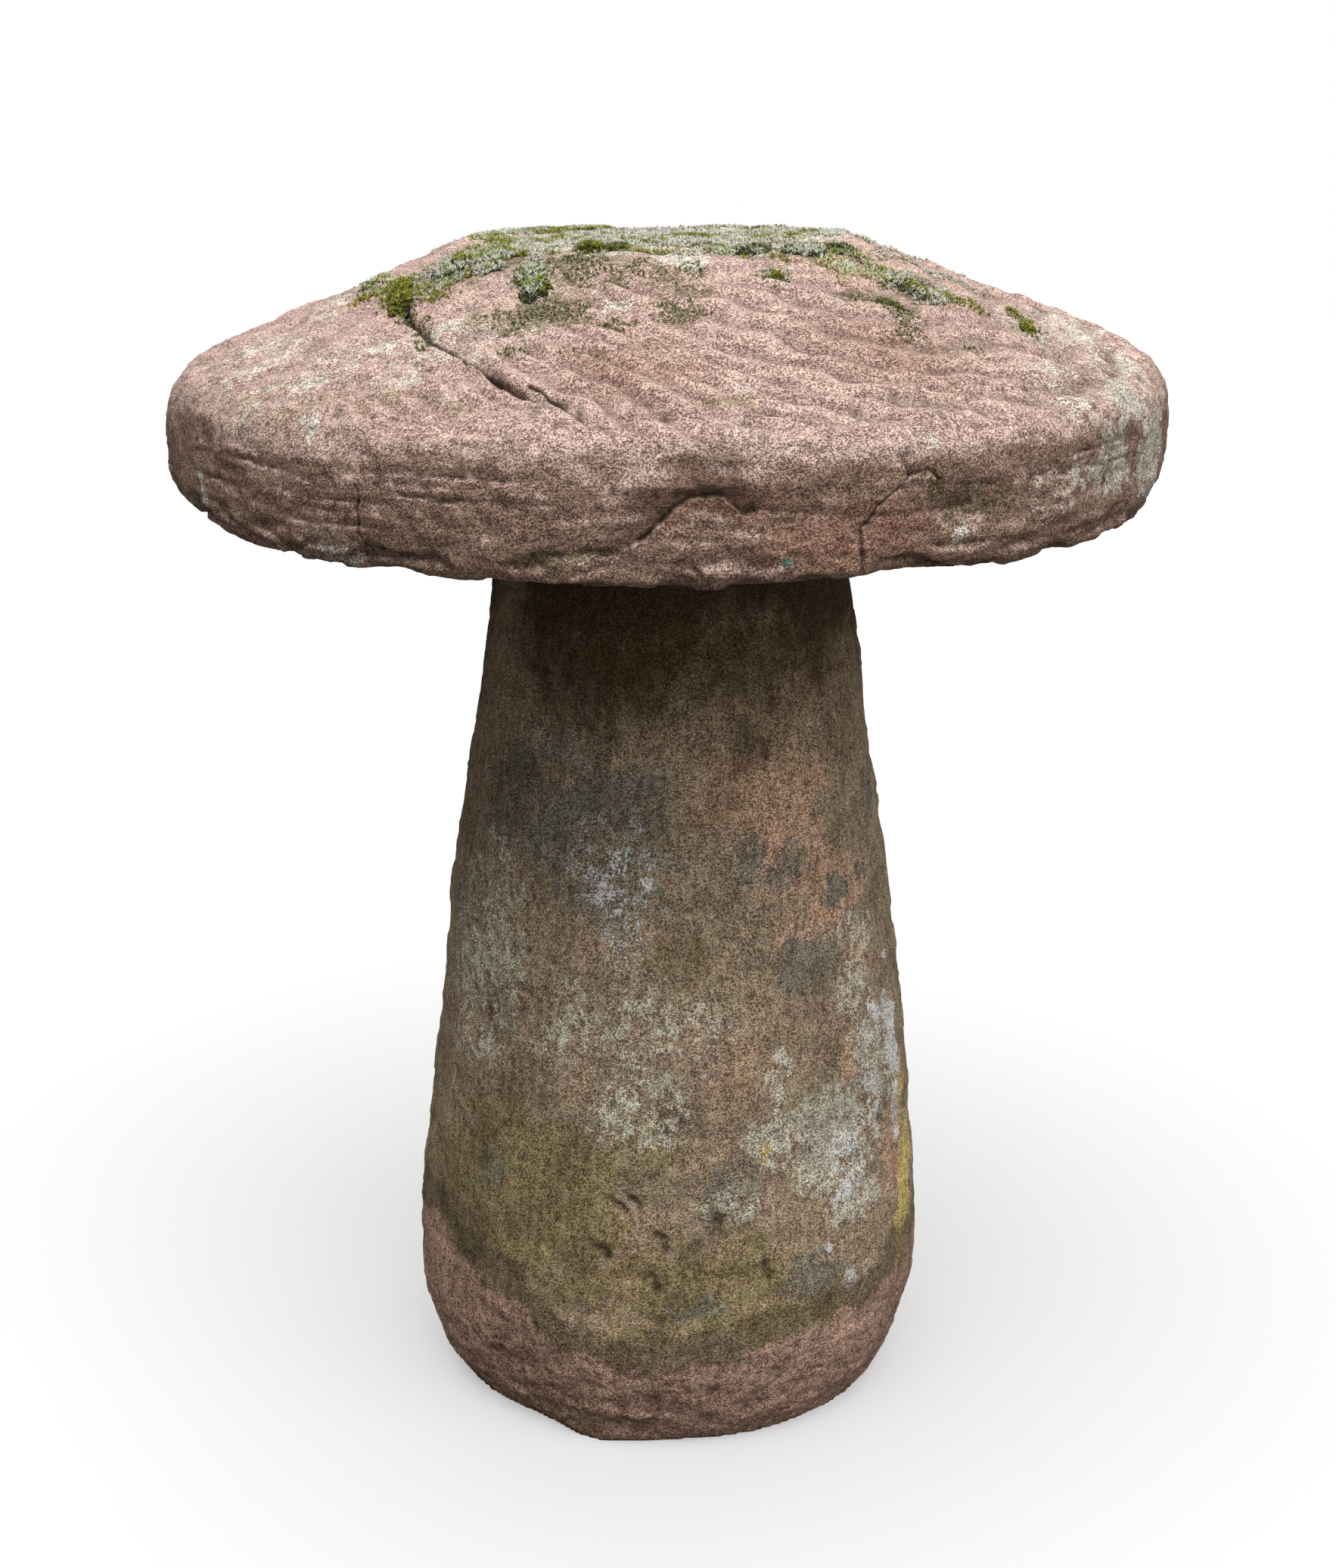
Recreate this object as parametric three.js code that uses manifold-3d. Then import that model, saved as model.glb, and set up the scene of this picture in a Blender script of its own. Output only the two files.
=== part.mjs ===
// A staddle stone: the mushroom-shaped pair of red sandstone blocks that once held a granary off the
// ground. A tapering stem stands on its flat foot, a broad weathered cap rests loose on top of it, and
// moss grows in cushions on the cap. Millimetres, +Z up. The origin is the middle of the resting face,
// and the front looks along -Y. A bearing is an angle in degrees about the Z axis: 0 is +X, -90 the front.

import * as THREE from 'three';
import { mergeVertices } from 'three/addons/utils/BufferGeometryUtils.js';
import Module from 'manifold-3d';

const wasm = await Module();
wasm.setup();

// Driving dimensions.
const GAP = 0.3;                      // between the two stones, and under the moss

const STEM_HEIGHT = 604;
const STEM_FOOT_RADIUS = 150;         // of the flat resting face
const STEM_RADIUS = 173;              // at its widest, just above the foot
const STEM_WIDEST_FROM = 62;
const STEM_WIDEST_TO = 92;
const STEM_TOP_RADIUS = 107;
const STEM_SIDES = 48;

const CAP_BOTTOM = STEM_HEIGHT + GAP;
const CAP_RADIUS = 310;
const CAP_LOWER_EDGE_RADIUS = 300;
const CAP_LOWER_BAND = 24;            // of the underside, along its edge
const CAP_RIM_FROM = 630;             // the upright part of the rim
const CAP_RIM_TO = 662;
const CAP_ARRIS = 684;                // where the rim has rounded over into the slope
const CAP_ARRIS_RADIUS = 300;
const CROWN_EDGE = 753;               // where the slope meets the nearly flat crown
const CROWN_RADIUS = 120;
const CROWN_OFFSET = -6;              // the crown lies a little left of the middle
const CROWN_MIDDLE = 756;
const CAP_SIDES = 88;

const DEGREE = Math.PI / 180;
const DOWN = new THREE.Vector3(0, 0, -1);

// Helpers ------------------------------------------------------------------------------------------

/** 1 where there is no distance, falling smoothly to 0 at the reach. */
function fade(distance, reach) {
  const share = Math.min(Math.abs(distance) / reach, 1);
  return (1 - share * share) ** 2;
}

/** The angle between two bearings, from -180 to 180 degrees. */
function between(bearing, other) {
  return ((bearing - other + 540) % 360) - 180;
}

/** Slow lumps, from -1 to 1, as wide as the given size. */
function lumps(x, y, z, size) {
  const broad = Math.sin((x + 0.6 * y) / size + 1.3) * Math.cos((z - 0.4 * x) / size + 0.4);
  const tight = Math.sin((y - 0.7 * z) / (0.61 * size) + 2.1) * Math.cos((x + 0.3 * z) / (0.67 * size));
  return 0.6 * broad + 0.4 * tight;
}

function line(x1, y1, x2, y2) {
  return new THREE.LineCurve(new THREE.Vector2(x1, y1), new THREE.Vector2(x2, y2));
}

/** A curve from the first point to the last that is pulled towards the middle one. */
function bend(x1, y1, x2, y2, x3, y3) {
  const [start, pull, end] = [[x1, y1], [x2, y2], [x3, y3]].map(([x, y]) => new THREE.Vector2(x, y));
  return new THREE.QuadraticBezierCurve(start, pull, end);
}

/** The points of a profile made of curves, each cut into its own number of steps. */
function profile(stretches) {
  const points = [stretches[0].curve.getPoint(0)];
  for (const { curve, steps } of stretches) {
    points.push(...curve.getSpacedPoints(steps).slice(1));
  }
  return points;
}

/** The same shape with only its positions, and the vertices that lie on each other made one. */
function weld(geometry) {
  geometry.deleteAttribute('normal');
  geometry.deleteAttribute('uv');
  return mergeVertices(geometry, 1e-4);
}

/** An upright turned blank. */
function turned(points, sides) {
  const blank = new THREE.LatheGeometry(points, sides);
  blank.rotateX(90 * DEGREE);
  return weld(blank);
}

/** A sphere of few faces, upright, with half sizes along X, Y and Z. */
function pebble(deep, wide, high, around, down) {
  const ball = weld(new THREE.SphereGeometry(1, around, down));
  ball.rotateX(90 * DEGREE);
  ball.scale(deep, wide, high);
  return ball;
}

/** Moves every vertex to where the function puts it, given its place as a vector. */
function moveVertices(geometry, change) {
  const position = geometry.attributes.position;
  const vertex = new THREE.Vector3();
  for (let i = 0; i < position.count; i += 1) {
    vertex.fromBufferAttribute(position, i);
    change(vertex);
    position.setXYZ(i, vertex.x, vertex.y, vertex.z);
  }
  return geometry;
}

function setPolar(vertex, bearing, radius) {
  vertex.x = radius * Math.cos(bearing * DEGREE);
  vertex.y = radius * Math.sin(bearing * DEGREE);
}

function bearingOf({ x, y }) {
  return Math.atan2(y, x) / DEGREE;
}

function toSolid(geometry) {
  const vertProperties = new Float32Array(geometry.attributes.position.array);
  const triVerts = new Uint32Array(geometry.index.array);
  return new wasm.Manifold(new wasm.Mesh({ numProp: 3, vertProperties, triVerts }));
}

function toGeometry(solid) {
  const mesh = solid.getMesh();
  const geometry = new THREE.BufferGeometry();
  geometry.setAttribute('position', new THREE.BufferAttribute(new Float32Array(mesh.vertProperties), 3));
  geometry.setIndex(new THREE.BufferAttribute(new Uint32Array(mesh.triVerts), 1));
  geometry.computeVertexNormals();
  return geometry;
}

/** A function that gives the point where a ray first meets the solid. */
function probe(solid) {
  const mesh = new THREE.Mesh(toGeometry(solid));
  const ray = new THREE.Raycaster();
  return (from, towards) => {
    ray.set(from, towards);
    return ray.intersectObject(mesh)[0].point;
  };
}

// Stem ---------------------------------------------------------------------------------------------

// Flats dressed or worn into the round: bearing, reach in degrees, depth, and the height they centre on.
const STEM_FLATS = [
  { bearing: -176, reach: 44, depth: 6, height: 480, span: 180 },
  { bearing: -162, reach: 40, depth: 5, height: 230, span: 250 },
  { bearing: -62, reach: 34, depth: 3, height: 260, span: 280 },
  { bearing: 44, reach: 34, depth: 5, height: 400, span: 320 },
  { bearing: 100, reach: 46, depth: 5, height: 240, span: 330 },
];

// Places where the foot is broken away, or stands out where the depth is below 0: bearing, reach in
// degrees, depth and how high it goes.
const FOOT_BREAKS = [
  { bearing: -128, reach: 20, depth: 4, top: 62 },
  { bearing: -106, reach: 18, depth: -9, top: 34 },
  { bearing: -52, reach: 14, depth: 2, top: 30 },
  { bearing: -16, reach: 14, depth: 2, top: 60 },
  { bearing: 58, reach: 26, depth: 14, top: 48 },
  { bearing: 150, reach: 20, depth: 11, top: 55 },
];
const STEM_LUMP_SIZE = 55;
const STEM_LUMP_HEIGHT = 2.2;

// Pits left by the mason's point: bearing, height, half length, and how far the pit leans from level.
const TOOL_PITS = [
  { bearing: -101, height: 177, length: 9, lean: 35 },
  { bearing: -98, height: 181, length: 8, lean: 50 },
  { bearing: -92, height: 157, length: 10, lean: 60 },
  { bearing: -105, height: 147, length: 9, lean: 20 },
  { bearing: -93, height: 128, length: 11, lean: 70 },
  { bearing: -79, height: 166, length: 12, lean: 85 },
  { bearing: -68, height: 128, length: 9, lean: 60 },
  { bearing: -140, height: 282, length: 9, lean: 75 },
  { bearing: -63, height: 462, length: 9, lean: 80 },
  { bearing: 64, height: 210, length: 12, lean: 40 },
  { bearing: 88, height: 330, length: 11, lean: 65 },
  { bearing: 118, height: 150, length: 12, lean: 30 },
];
const PIT_WIDTH = 4.5;
const PIT_DEPTH = 4;

function stemProfile() {
  const foot = bend(STEM_FOOT_RADIUS, 0, 165, 18, STEM_RADIUS, STEM_WIDEST_FROM);
  const taper = bend(STEM_RADIUS, STEM_WIDEST_TO, 165, 250, STEM_TOP_RADIUS, STEM_HEIGHT);
  return profile([
    { curve: line(0, 0, STEM_FOOT_RADIUS, 0), steps: 2 },
    { curve: foot, steps: 3 },
    { curve: line(STEM_RADIUS, STEM_WIDEST_FROM, STEM_RADIUS, STEM_WIDEST_TO), steps: 1 },
    { curve: taper, steps: 10 },
    { curve: line(STEM_TOP_RADIUS, STEM_HEIGHT, 0, STEM_HEIGHT), steps: 1 },
  ]);
}

function carveStem(vertex) {
  let radius = Math.hypot(vertex.x, vertex.y);
  const onSide = radius > STEM_FOOT_RADIUS - 1 || (vertex.z > 0 && radius > 0);
  if (!onSide) {
    return;
  }
  const bearing = bearingOf(vertex);
  radius += STEM_LUMP_HEIGHT * lumps(vertex.x, vertex.y, vertex.z, STEM_LUMP_SIZE);
  for (const flat of STEM_FLATS) {
    const around = fade(between(bearing, flat.bearing), flat.reach);
    radius -= flat.depth * around * fade(vertex.z - flat.height, flat.span);
  }
  for (const broken of FOOT_BREAKS) {
    const around = fade(between(bearing, broken.bearing), broken.reach);
    radius -= broken.depth * around * fade(vertex.z, broken.top);
  }
  setPolar(vertex, bearing, radius);
}

/** A small hollow whose middle lies on the stem's side. */
function makePit({ bearing, height, length, lean }, probeStem) {
  const inward = new THREE.Vector3(-Math.cos(bearing * DEGREE), -Math.sin(bearing * DEGREE), 0);
  const outside = inward.clone().multiplyScalar(-2 * STEM_RADIUS).setZ(height);
  const place = probeStem(outside, inward);
  const pit = pebble(PIT_DEPTH, PIT_WIDTH, length, 6, 4);
  pit.rotateX((90 - lean) * DEGREE);
  pit.rotateZ(bearing * DEGREE);
  pit.translate(place.x, place.y, place.z);
  return toSolid(pit);
}

function makeStem() {
  const body = toSolid(moveVertices(turned(stemProfile(), STEM_SIDES), carveStem));
  const probeStem = probe(body);
  return TOOL_PITS.reduce((stone, pit) => stone.subtract(makePit(pit, probeStem)), body);
}

// Cap ----------------------------------------------------------------------------------------------

// Stone lost from the cap's lower edge: bearing, reach in degrees, and how far the edge is raised.
const EDGE_CHIPS = [
  { bearing: -158, reach: 13, rise: 6 },
  { bearing: -119, reach: 5, rise: 3 },
  { bearing: -68, reach: 11, rise: 7 },
  { bearing: -46, reach: 5, rise: 2 },
  { bearing: -12, reach: 11, rise: 9 },
  { bearing: 26, reach: 12, rise: 8 },
  { bearing: 71, reach: 8, rise: 6 },
  { bearing: 108, reach: 15, rise: 9 },
  { bearing: 149, reach: 7, rise: 5 },
];
const CHIP_SPAN = 30;                 // how far up the rim a chip is still felt

// Hollows in the rim's face and along its rounded arris: bearing, reach, height, span and depth.
const RIM_HOLLOWS = [
  { bearing: -128, reach: 12, height: 676, span: 24, depth: 4 },
  { bearing: -88, reach: 13, height: 668, span: 30, depth: 9 },
  { bearing: -60, reach: 9, height: 640, span: 24, depth: 7 },
  { bearing: -34, reach: 13, height: 640, span: 30, depth: 4 },
  { bearing: -4, reach: 20, height: 622, span: 28, depth: 4 },
  { bearing: 2, reach: 20, height: 682, span: 22, depth: 4 },
  { bearing: 22, reach: 13, height: 664, span: 30, depth: 6 },
  { bearing: 62, reach: 18, height: 644, span: 34, depth: 7 },
  { bearing: 104, reach: 11, height: 672, span: 26, depth: 6 },
  { bearing: 158, reach: 15, height: 638, span: 32, depth: 6 },
  { bearing: 178, reach: 24, height: 678, span: 24, depth: 5 },
];

// Flakes of stone left on the rim, whose arched tops stand out as a ledge: bearing, height of the
// middle, half width and half height.
const RIM_FLAKES = [
  { bearing: -88, height: 632, wide: 62, high: 25 },
  { bearing: 84, height: 630, wide: 70, high: 23 },
  { bearing: 146, height: 632, wide: 50, high: 25 },
];
const FLAKE_THICKNESS = 16;
const FLAKE_PROUD = 0.5;              // at the middle of a flake
const FLAKE_LEAN = 12;                // degrees, so that the top stands out and the foot dies away
const FLAKE_SIDES = 14;

// Grooves where the rim has parted along its beds: bearing, height and half length.
const BED_GROOVES = [
  { bearing: -110, height: 656, length: 52 },
  { bearing: -53, height: 613, length: 42 },
  { bearing: 8, height: 624, length: 46 },
  { bearing: 128, height: 640, length: 58 },
  { bearing: 172, height: 618, length: 38 },
];
const GROOVE_DEPTH = 4.5;
const GROOVE_HEIGHT = 2.6;

// Swellings and hollows of the slope: bearing, reach, radius they centre on, span, and rise.
const SLOPE_FORMS = [
  { bearing: -112, reach: 22, radius: 262, span: 50, rise: 3 },
  { bearing: -52, reach: 24, radius: 236, span: 60, rise: -3 },
  { bearing: 8, reach: 60, radius: 266, span: 80, rise: 6 },
  { bearing: 10, reach: 66, radius: 140, span: 130, rise: 5 },
  { bearing: 70, reach: 30, radius: 215, span: 70, rise: -5 },
  { bearing: 118, reach: 26, radius: 250, span: 60, rise: 4 },
  { bearing: 172, reach: 52, radius: 128, span: 46, rise: 3 },
];
const CAP_LUMP_SIZE = 70;             // round the rim
const CAP_LUMP_HEIGHT = 2.4;
const SLOPE_LUMP_SIZE = 48;
const SLOPE_LUMP_HEIGHT = 2;
const RIPPLE_LENGTH = 110;            // of the bedding that crosses the slope in slanting arcs
const RIPPLE_HEIGHT = 2;

// The open joint in the left of the slope, from the crown down: x and y.
const CRACK_ROUTE = [[-154, -112], [-143, -150], [-124, -186], [-100, -222], [-76, -258], [-52, -276]];
const CRACK_WIDTH = 6;
const CRACK_DEPTH = 6;
const CRACK_CLEAR = 12;               // how far its cutter stands above the slope
const CRACK_STEPS = 7;

function capProfile() {
  const inner = CAP_LOWER_EDGE_RADIUS - CAP_LOWER_BAND;
  const corner = CAP_RADIUS - 1;
  return profile([
    { curve: line(0, CAP_BOTTOM, inner, CAP_BOTTOM), steps: 1 },
    { curve: line(inner, CAP_BOTTOM, CAP_LOWER_EDGE_RADIUS, CAP_BOTTOM), steps: 1 },
    {
      curve: bend(CAP_LOWER_EDGE_RADIUS, CAP_BOTTOM, corner, CAP_BOTTOM + 6, CAP_RADIUS, CAP_RIM_FROM),
      steps: 3,
    },
    { curve: line(CAP_RADIUS, CAP_RIM_FROM, CAP_RADIUS, CAP_RIM_TO), steps: 3 },
    { curve: bend(CAP_RADIUS, CAP_RIM_TO, corner, CAP_ARRIS - 5, CAP_ARRIS_RADIUS, CAP_ARRIS), steps: 2 },
    { curve: line(CAP_ARRIS_RADIUS, CAP_ARRIS, CROWN_RADIUS, CROWN_EDGE), steps: 8 },
    { curve: bend(CROWN_RADIUS, CROWN_EDGE, CROWN_RADIUS / 2, CROWN_MIDDLE, 0, CROWN_MIDDLE), steps: 3 },
  ]);
}

/** How far the bedding stands out of the slope, from -1 to 1. */
function ripple(x, y, radius) {
  const across = 0.9 * x - 0.44 * y - 1.7 * radius;
  const strength = Math.sin(x / 90 + 1) ** 2;
  return strength * Math.sin((2 * Math.PI * across) / RIPPLE_LENGTH);
}

/** How far the slope is raised at a place by its bedding, lumps, swellings and hollows. */
function slopeRelief(x, y, radius, bearing, inward) {
  const onSlope = 4 * inward * (1 - inward);
  let raised = RIPPLE_HEIGHT * ripple(x, y, radius) * onSlope;
  raised += SLOPE_LUMP_HEIGHT * lumps(x, y, 0, SLOPE_LUMP_SIZE) * onSlope;
  for (const form of SLOPE_FORMS) {
    const around = fade(between(bearing, form.bearing), form.reach);
    raised += form.rise * around * fade(radius - form.radius, form.span);
  }
  return raised;
}

function carveCap(vertex) {
  const { x, y, z } = vertex;
  const radius = Math.hypot(x, y);
  const onTop = z > CAP_RIM_TO;
  if (!onTop && radius < CAP_LOWER_EDGE_RADIUS - 1) {
    return;
  }
  const bearing = bearingOf(vertex);
  const nearRim = fade(radius - CAP_RADIUS, CAP_RADIUS / 2);
  let pulled = radius + CAP_LUMP_HEIGHT * lumps(x, y, 0, CAP_LUMP_SIZE) * nearRim;
  for (const hollow of RIM_HOLLOWS) {
    const around = fade(between(bearing, hollow.bearing), hollow.reach);
    pulled -= hollow.depth * around * fade(z - hollow.height, hollow.span);
  }
  for (const chip of EDGE_CHIPS) {
    const around = fade(between(bearing, chip.bearing), chip.reach);
    vertex.z += chip.rise * around * fade(z - CAP_BOTTOM, CHIP_SPAN);
  }
  setPolar(vertex, bearing, pulled);
  if (onTop) {
    const inward = Math.min((CAP_RADIUS - radius) / (CAP_RADIUS - CROWN_RADIUS), 1);
    vertex.z += slopeRelief(x, y, radius, bearing, inward);
    vertex.x += CROWN_OFFSET * inward;
  }
}

/** Bends a shape round the rim: X is distance from the axis, Y is length along the rim from a bearing. */
function wrapOnRim(shape, bearing) {
  return toSolid(moveVertices(shape, (vertex) => {
    setPolar(vertex, bearing + vertex.y / CAP_RADIUS / DEGREE, vertex.x);
  }));
}

/** A leaning oval plate. */
function makeFlake({ bearing, height, wide, high }) {
  const plate = weld(new THREE.CylinderGeometry(1, 1, 1, FLAKE_SIDES));
  plate.rotateZ(90 * DEGREE);
  plate.scale(FLAKE_THICKNESS, wide, high);
  plate.rotateY(FLAKE_LEAN * DEGREE);
  plate.translate(CAP_RADIUS + FLAKE_PROUD - FLAKE_THICKNESS / 2, 0, height);
  return wrapOnRim(plate, bearing);
}

function makeGroove({ bearing, height, length }) {
  const groove = pebble(GROOVE_DEPTH, length, GROOVE_HEIGHT, 8, 4);
  groove.translate(CAP_RADIUS, 0, height);
  return wrapOnRim(groove, bearing);
}

/** The crack in plan: a sliver that runs out to a point at its lower end. */
function crackOutline() {
  const route = new THREE.SplineCurve(CRACK_ROUTE.map(([x, y]) => new THREE.Vector2(x, y)));
  const left = [];
  const right = [];
  for (let step = 0; step < CRACK_STEPS; step += 1) {
    const share = step / CRACK_STEPS;
    const middle = route.getPoint(share);
    const forward = route.getTangent(share);
    const half = (CRACK_WIDTH / 2) * (1 - share);
    left.push(new THREE.Vector2(middle.x - forward.y * half, middle.y + forward.x * half));
    right.unshift(new THREE.Vector2(middle.x + forward.y * half, middle.y - forward.x * half));
  }
  return new THREE.Shape([...left, route.getPoint(1), ...right]);
}

/** Raises every vertex by the height of the stone under it, so that a flat shape follows the slope. */
function drape(geometry, probeCap) {
  return toSolid(moveVertices(geometry, (vertex) => {
    const above = new THREE.Vector3(vertex.x, vertex.y, 2 * CAP_BOTTOM);
    vertex.z += probeCap(above, DOWN).z;
  }));
}

function makeCrack(probeCap) {
  const sliver = { depth: CRACK_DEPTH + CRACK_CLEAR, bevelEnabled: false };
  const cutter = new THREE.ExtrudeGeometry(crackOutline(), sliver);
  cutter.translate(0, 0, -CRACK_DEPTH);
  return drape(weld(cutter), probeCap);
}

function makeCap() {
  let stone = toSolid(moveVertices(turned(capProfile(), CAP_SIDES), carveCap));
  for (const flake of RIM_FLAKES) {
    stone = stone.add(makeFlake(flake));
  }
  for (const groove of BED_GROOVES) {
    stone = stone.subtract(makeGroove(groove));
  }
  return stone.subtract(makeCrack(probe(stone)));
}

// Moss ---------------------------------------------------------------------------------------------

// Each patch is a few cushions grown together: x, y, half widths along X and Y, and height.
const MOSS_PATCHES = {
  moss_left_mat: [[-102, -66, 27, 24, 6], [-128, -68, 16, 22, 7], [-108, -93, 17, 12, 6]],
  moss_crack_cushion: [[-158, -82, 10, 24, 8], [-155, -106, 10, 17, 8]],
  moss_tongue: [[-79, -117, 12, 16, 7], [-75, -136, 12, 15, 8]],
  moss_ridge_cushion: [[-46, -58, 13, 17, 8], [-30, -62, 12, 15, 7]],
  moss_right_mat: [[24, -52, 14, 15, 5], [50, -62, 17, 17, 6], [80, -68, 18, 16, 7], [104, -54, 14, 15, 6]],
  moss_pale_tuft: [[106, -92, 14, 14, 6]],
  moss_right_edge: [[136, -80, 17, 16, 7], [154, -88, 14, 11, 6]],
  moss_front_clump: [[62, -124, 10, 9, 6]],
  moss_lower_clump: [[127, -128, 12, 10, 6]],
  moss_golden_tuft: [[206, -66, 7, 14, 5], [212, -88, 7, 15, 6]],
  moss_crown_left: [[-92, -6, 26, 26, 4], [-62, 14, 24, 22, 4], [-112, 20, 18, 22, 4]],
  moss_crown_middle: [[-14, -8, 24, 15, 4], [14, 14, 24, 18, 4]],
  moss_crown_right: [[72, 0, 26, 20, 4], [96, 22, 20, 22, 4]],
  moss_back_left: [[-82, 76, 28, 24, 5], [-54, 94, 26, 18, 5]],
  moss_back_right: [[34, 96, 30, 20, 4], [70, 82, 24, 22, 4]],
  moss_back_slope: [[-40, 172, 22, 18, 7], [-58, 158, 16, 16, 7]],
  moss_back_clump: [[82, 168, 16, 12, 7]],
};

/** A patch of low domes that follow the stone and stand clear of it by the gap. */
function makeMoss(cushions, stone, probeCap) {
  const domes = cushions.map(([x, y, wide, deep, high]) => {
    const dome = pebble(wide, deep, high, 8, 4);
    dome.translate(x, y, 0);
    return drape(dome, probeCap);
  });
  const patch = domes.reduce((whole, dome) => whole.add(dome));
  return patch.subtract(stone.translate([0, 0, GAP]));
}

// The object ---------------------------------------------------------------------------------------

const STONE = new THREE.MeshStandardMaterial({ color: 0xb28e80, roughness: 0.95, metalness: 0 });
const DIRTY_STONE = new THREE.MeshStandardMaterial({ color: 0x6e6350, roughness: 0.95, metalness: 0 });
const MOSS = new THREE.MeshStandardMaterial({ color: 0x6f7a45, roughness: 1, metalness: 0 });

function addMesh(group, name, solid, material) {
  const mesh = new THREE.Mesh(toGeometry(solid), material);
  mesh.name = name;
  group.add(mesh);
}

const staddleStone = new THREE.Group();
const cap = makeCap();
const probeCap = probe(cap);
addMesh(staddleStone, 'stem', makeStem(), DIRTY_STONE);
addMesh(staddleStone, 'cap', cap, STONE);
for (const [name, cushions] of Object.entries(MOSS_PATCHES)) {
  addMesh(staddleStone, name, makeMoss(cushions, cap, probeCap), MOSS);
}

export default staddleStone;
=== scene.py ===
# %% [markdown]
# # A staddle stone
# Old granaries stood on pairs of stones like this one: a tapering stem, and a broad cap that rats could
# not climb round. The frame holds both stones and the moss cushions as plain faceted solids, which give
# every size. This lesson dresses them: the stones are remeshed and carved by formula, the moss is made
# of small shoots joined into one mesh for each growth, and every finish is a node material.

# %% Load the frame
import math
import random

import bmesh
import bpy
from mathutils import Matrix, Vector, noise
from mathutils.bvhtree import BVHTree


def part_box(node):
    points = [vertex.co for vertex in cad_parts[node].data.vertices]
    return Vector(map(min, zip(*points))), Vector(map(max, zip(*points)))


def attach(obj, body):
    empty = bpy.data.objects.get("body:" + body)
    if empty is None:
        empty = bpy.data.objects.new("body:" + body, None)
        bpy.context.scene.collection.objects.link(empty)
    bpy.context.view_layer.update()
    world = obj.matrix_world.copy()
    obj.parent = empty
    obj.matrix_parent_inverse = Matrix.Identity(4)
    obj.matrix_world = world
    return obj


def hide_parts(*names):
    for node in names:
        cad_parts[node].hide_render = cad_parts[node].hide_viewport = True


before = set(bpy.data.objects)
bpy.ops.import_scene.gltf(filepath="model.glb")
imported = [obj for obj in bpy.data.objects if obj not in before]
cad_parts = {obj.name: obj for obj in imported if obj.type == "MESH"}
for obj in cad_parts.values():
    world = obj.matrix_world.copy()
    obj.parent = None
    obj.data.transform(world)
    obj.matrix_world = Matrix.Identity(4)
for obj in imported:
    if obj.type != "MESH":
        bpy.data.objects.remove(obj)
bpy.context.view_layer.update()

NOISE_SEED = 4                         # without it, noise_vector takes its offsets from the clock
noise.seed_set(NOISE_SEED)
print("nodes in the frame:", len(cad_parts))

# %% [markdown]
# ## Floor, light and camera
# The stone stands on a plain pale floor under a soft, high light, as on an overcast day. One sun with a
# wide angle gives even light and soft shadows over the whole floor, where an area lamp would fall off.
# A second, weaker sun low in front stands for the open sky there, and reaches the stem under the cap. A
# third behind does the same for the back. The floor shows white but gives back little light, so that the
# sides of the stone keep their shade.

# %% Floor, light and camera
CAMERA_DISTANCE = 1.527                # metres in front of the stone
CAMERA_HEIGHT = 0.893
CAMERA_PITCH = 17.8                    # degrees down
CAMERA_LENS = 55.6
FLOOR_RADIUS = 6
FLOOR_GLOW = 0.4                       # share of the floor's white that doesn't depend on light
SKY_STRENGTH = 0.13


def feed(tree, socket, value):
    """Links an input to a socket, or sets it to a value."""
    if isinstance(value, bpy.types.NodeSocket):
        tree.links.new(value, socket)
    else:
        socket.default_value = value


def add_node(tree, kind, inputs=None, **settings):
    """A node with its settings, whose inputs are fed by name."""
    node = tree.nodes.new(kind)
    for name, value in settings.items():
        setattr(node, name, value)
    for name, value in (inputs or {}).items():
        socket = next(socket for socket in node.inputs if socket.name == name and socket.enabled)
        feed(tree, socket, value)
    return node


def new_material(name):
    """A material with an empty node tree and its output node."""
    material = bpy.data.materials.new(name)
    material.use_nodes = True
    material.node_tree.nodes.clear()
    output = material.node_tree.nodes.new("ShaderNodeOutputMaterial")
    return material, material.node_tree, output


def add_light(name, height, turn, strength, angle):
    """A sun at a height above the horizon, turned round Z from the front, in degrees."""
    lamp = bpy.data.lights.new(name, "SUN")
    lamp.energy = strength
    lamp.angle = math.radians(angle)
    sun = bpy.data.objects.new(name, lamp)
    sun.rotation_euler = (math.radians(90 - height), 0, math.radians(turn))
    bpy.context.collection.objects.link(sun)


def mixed(tree, factor, first, second):
    """The output of a Mix Shader node."""
    mix = tree.nodes.new("ShaderNodeMixShader")
    for socket, value in zip(mix.inputs, (factor, first, second)):
        feed(tree, socket, value)
    return mix.outputs[0]


def by_camera(tree, felt, seen):
    """One shader for what the camera sees, and another for the light that the object feels."""
    path = tree.nodes.new("ShaderNodeLightPath")
    return mixed(tree, path.outputs["Is Camera Ray"], felt, seen)


def make_floor():
    """A wide pale disc under the stone."""
    disc = bmesh.new()
    bmesh.ops.create_circle(disc, cap_ends=True, segments=96, radius=FLOOR_RADIUS)
    mesh = bpy.data.meshes.new("floor")
    disc.to_mesh(mesh)
    disc.free()
    floor = bpy.data.objects.new("floor", mesh)
    bpy.context.collection.objects.link(floor)
    material, tree, output = new_material("pale_floor")
    lit = add_node(tree, "ShaderNodeBsdfDiffuse", {"Color": (0.93, 0.93, 0.93, 1)})
    glow = add_node(tree, "ShaderNodeEmission", {"Color": (1, 1, 1, 1), "Strength": 1})
    felt = add_node(tree, "ShaderNodeBsdfDiffuse", {"Color": (0.12, 0.115, 0.11, 1)})
    seen = mixed(tree, FLOOR_GLOW, lit.outputs[0], glow.outputs[0])
    tree.links.new(by_camera(tree, felt.outputs[0], seen), output.inputs["Surface"])
    mesh.materials.append(material)


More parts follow.
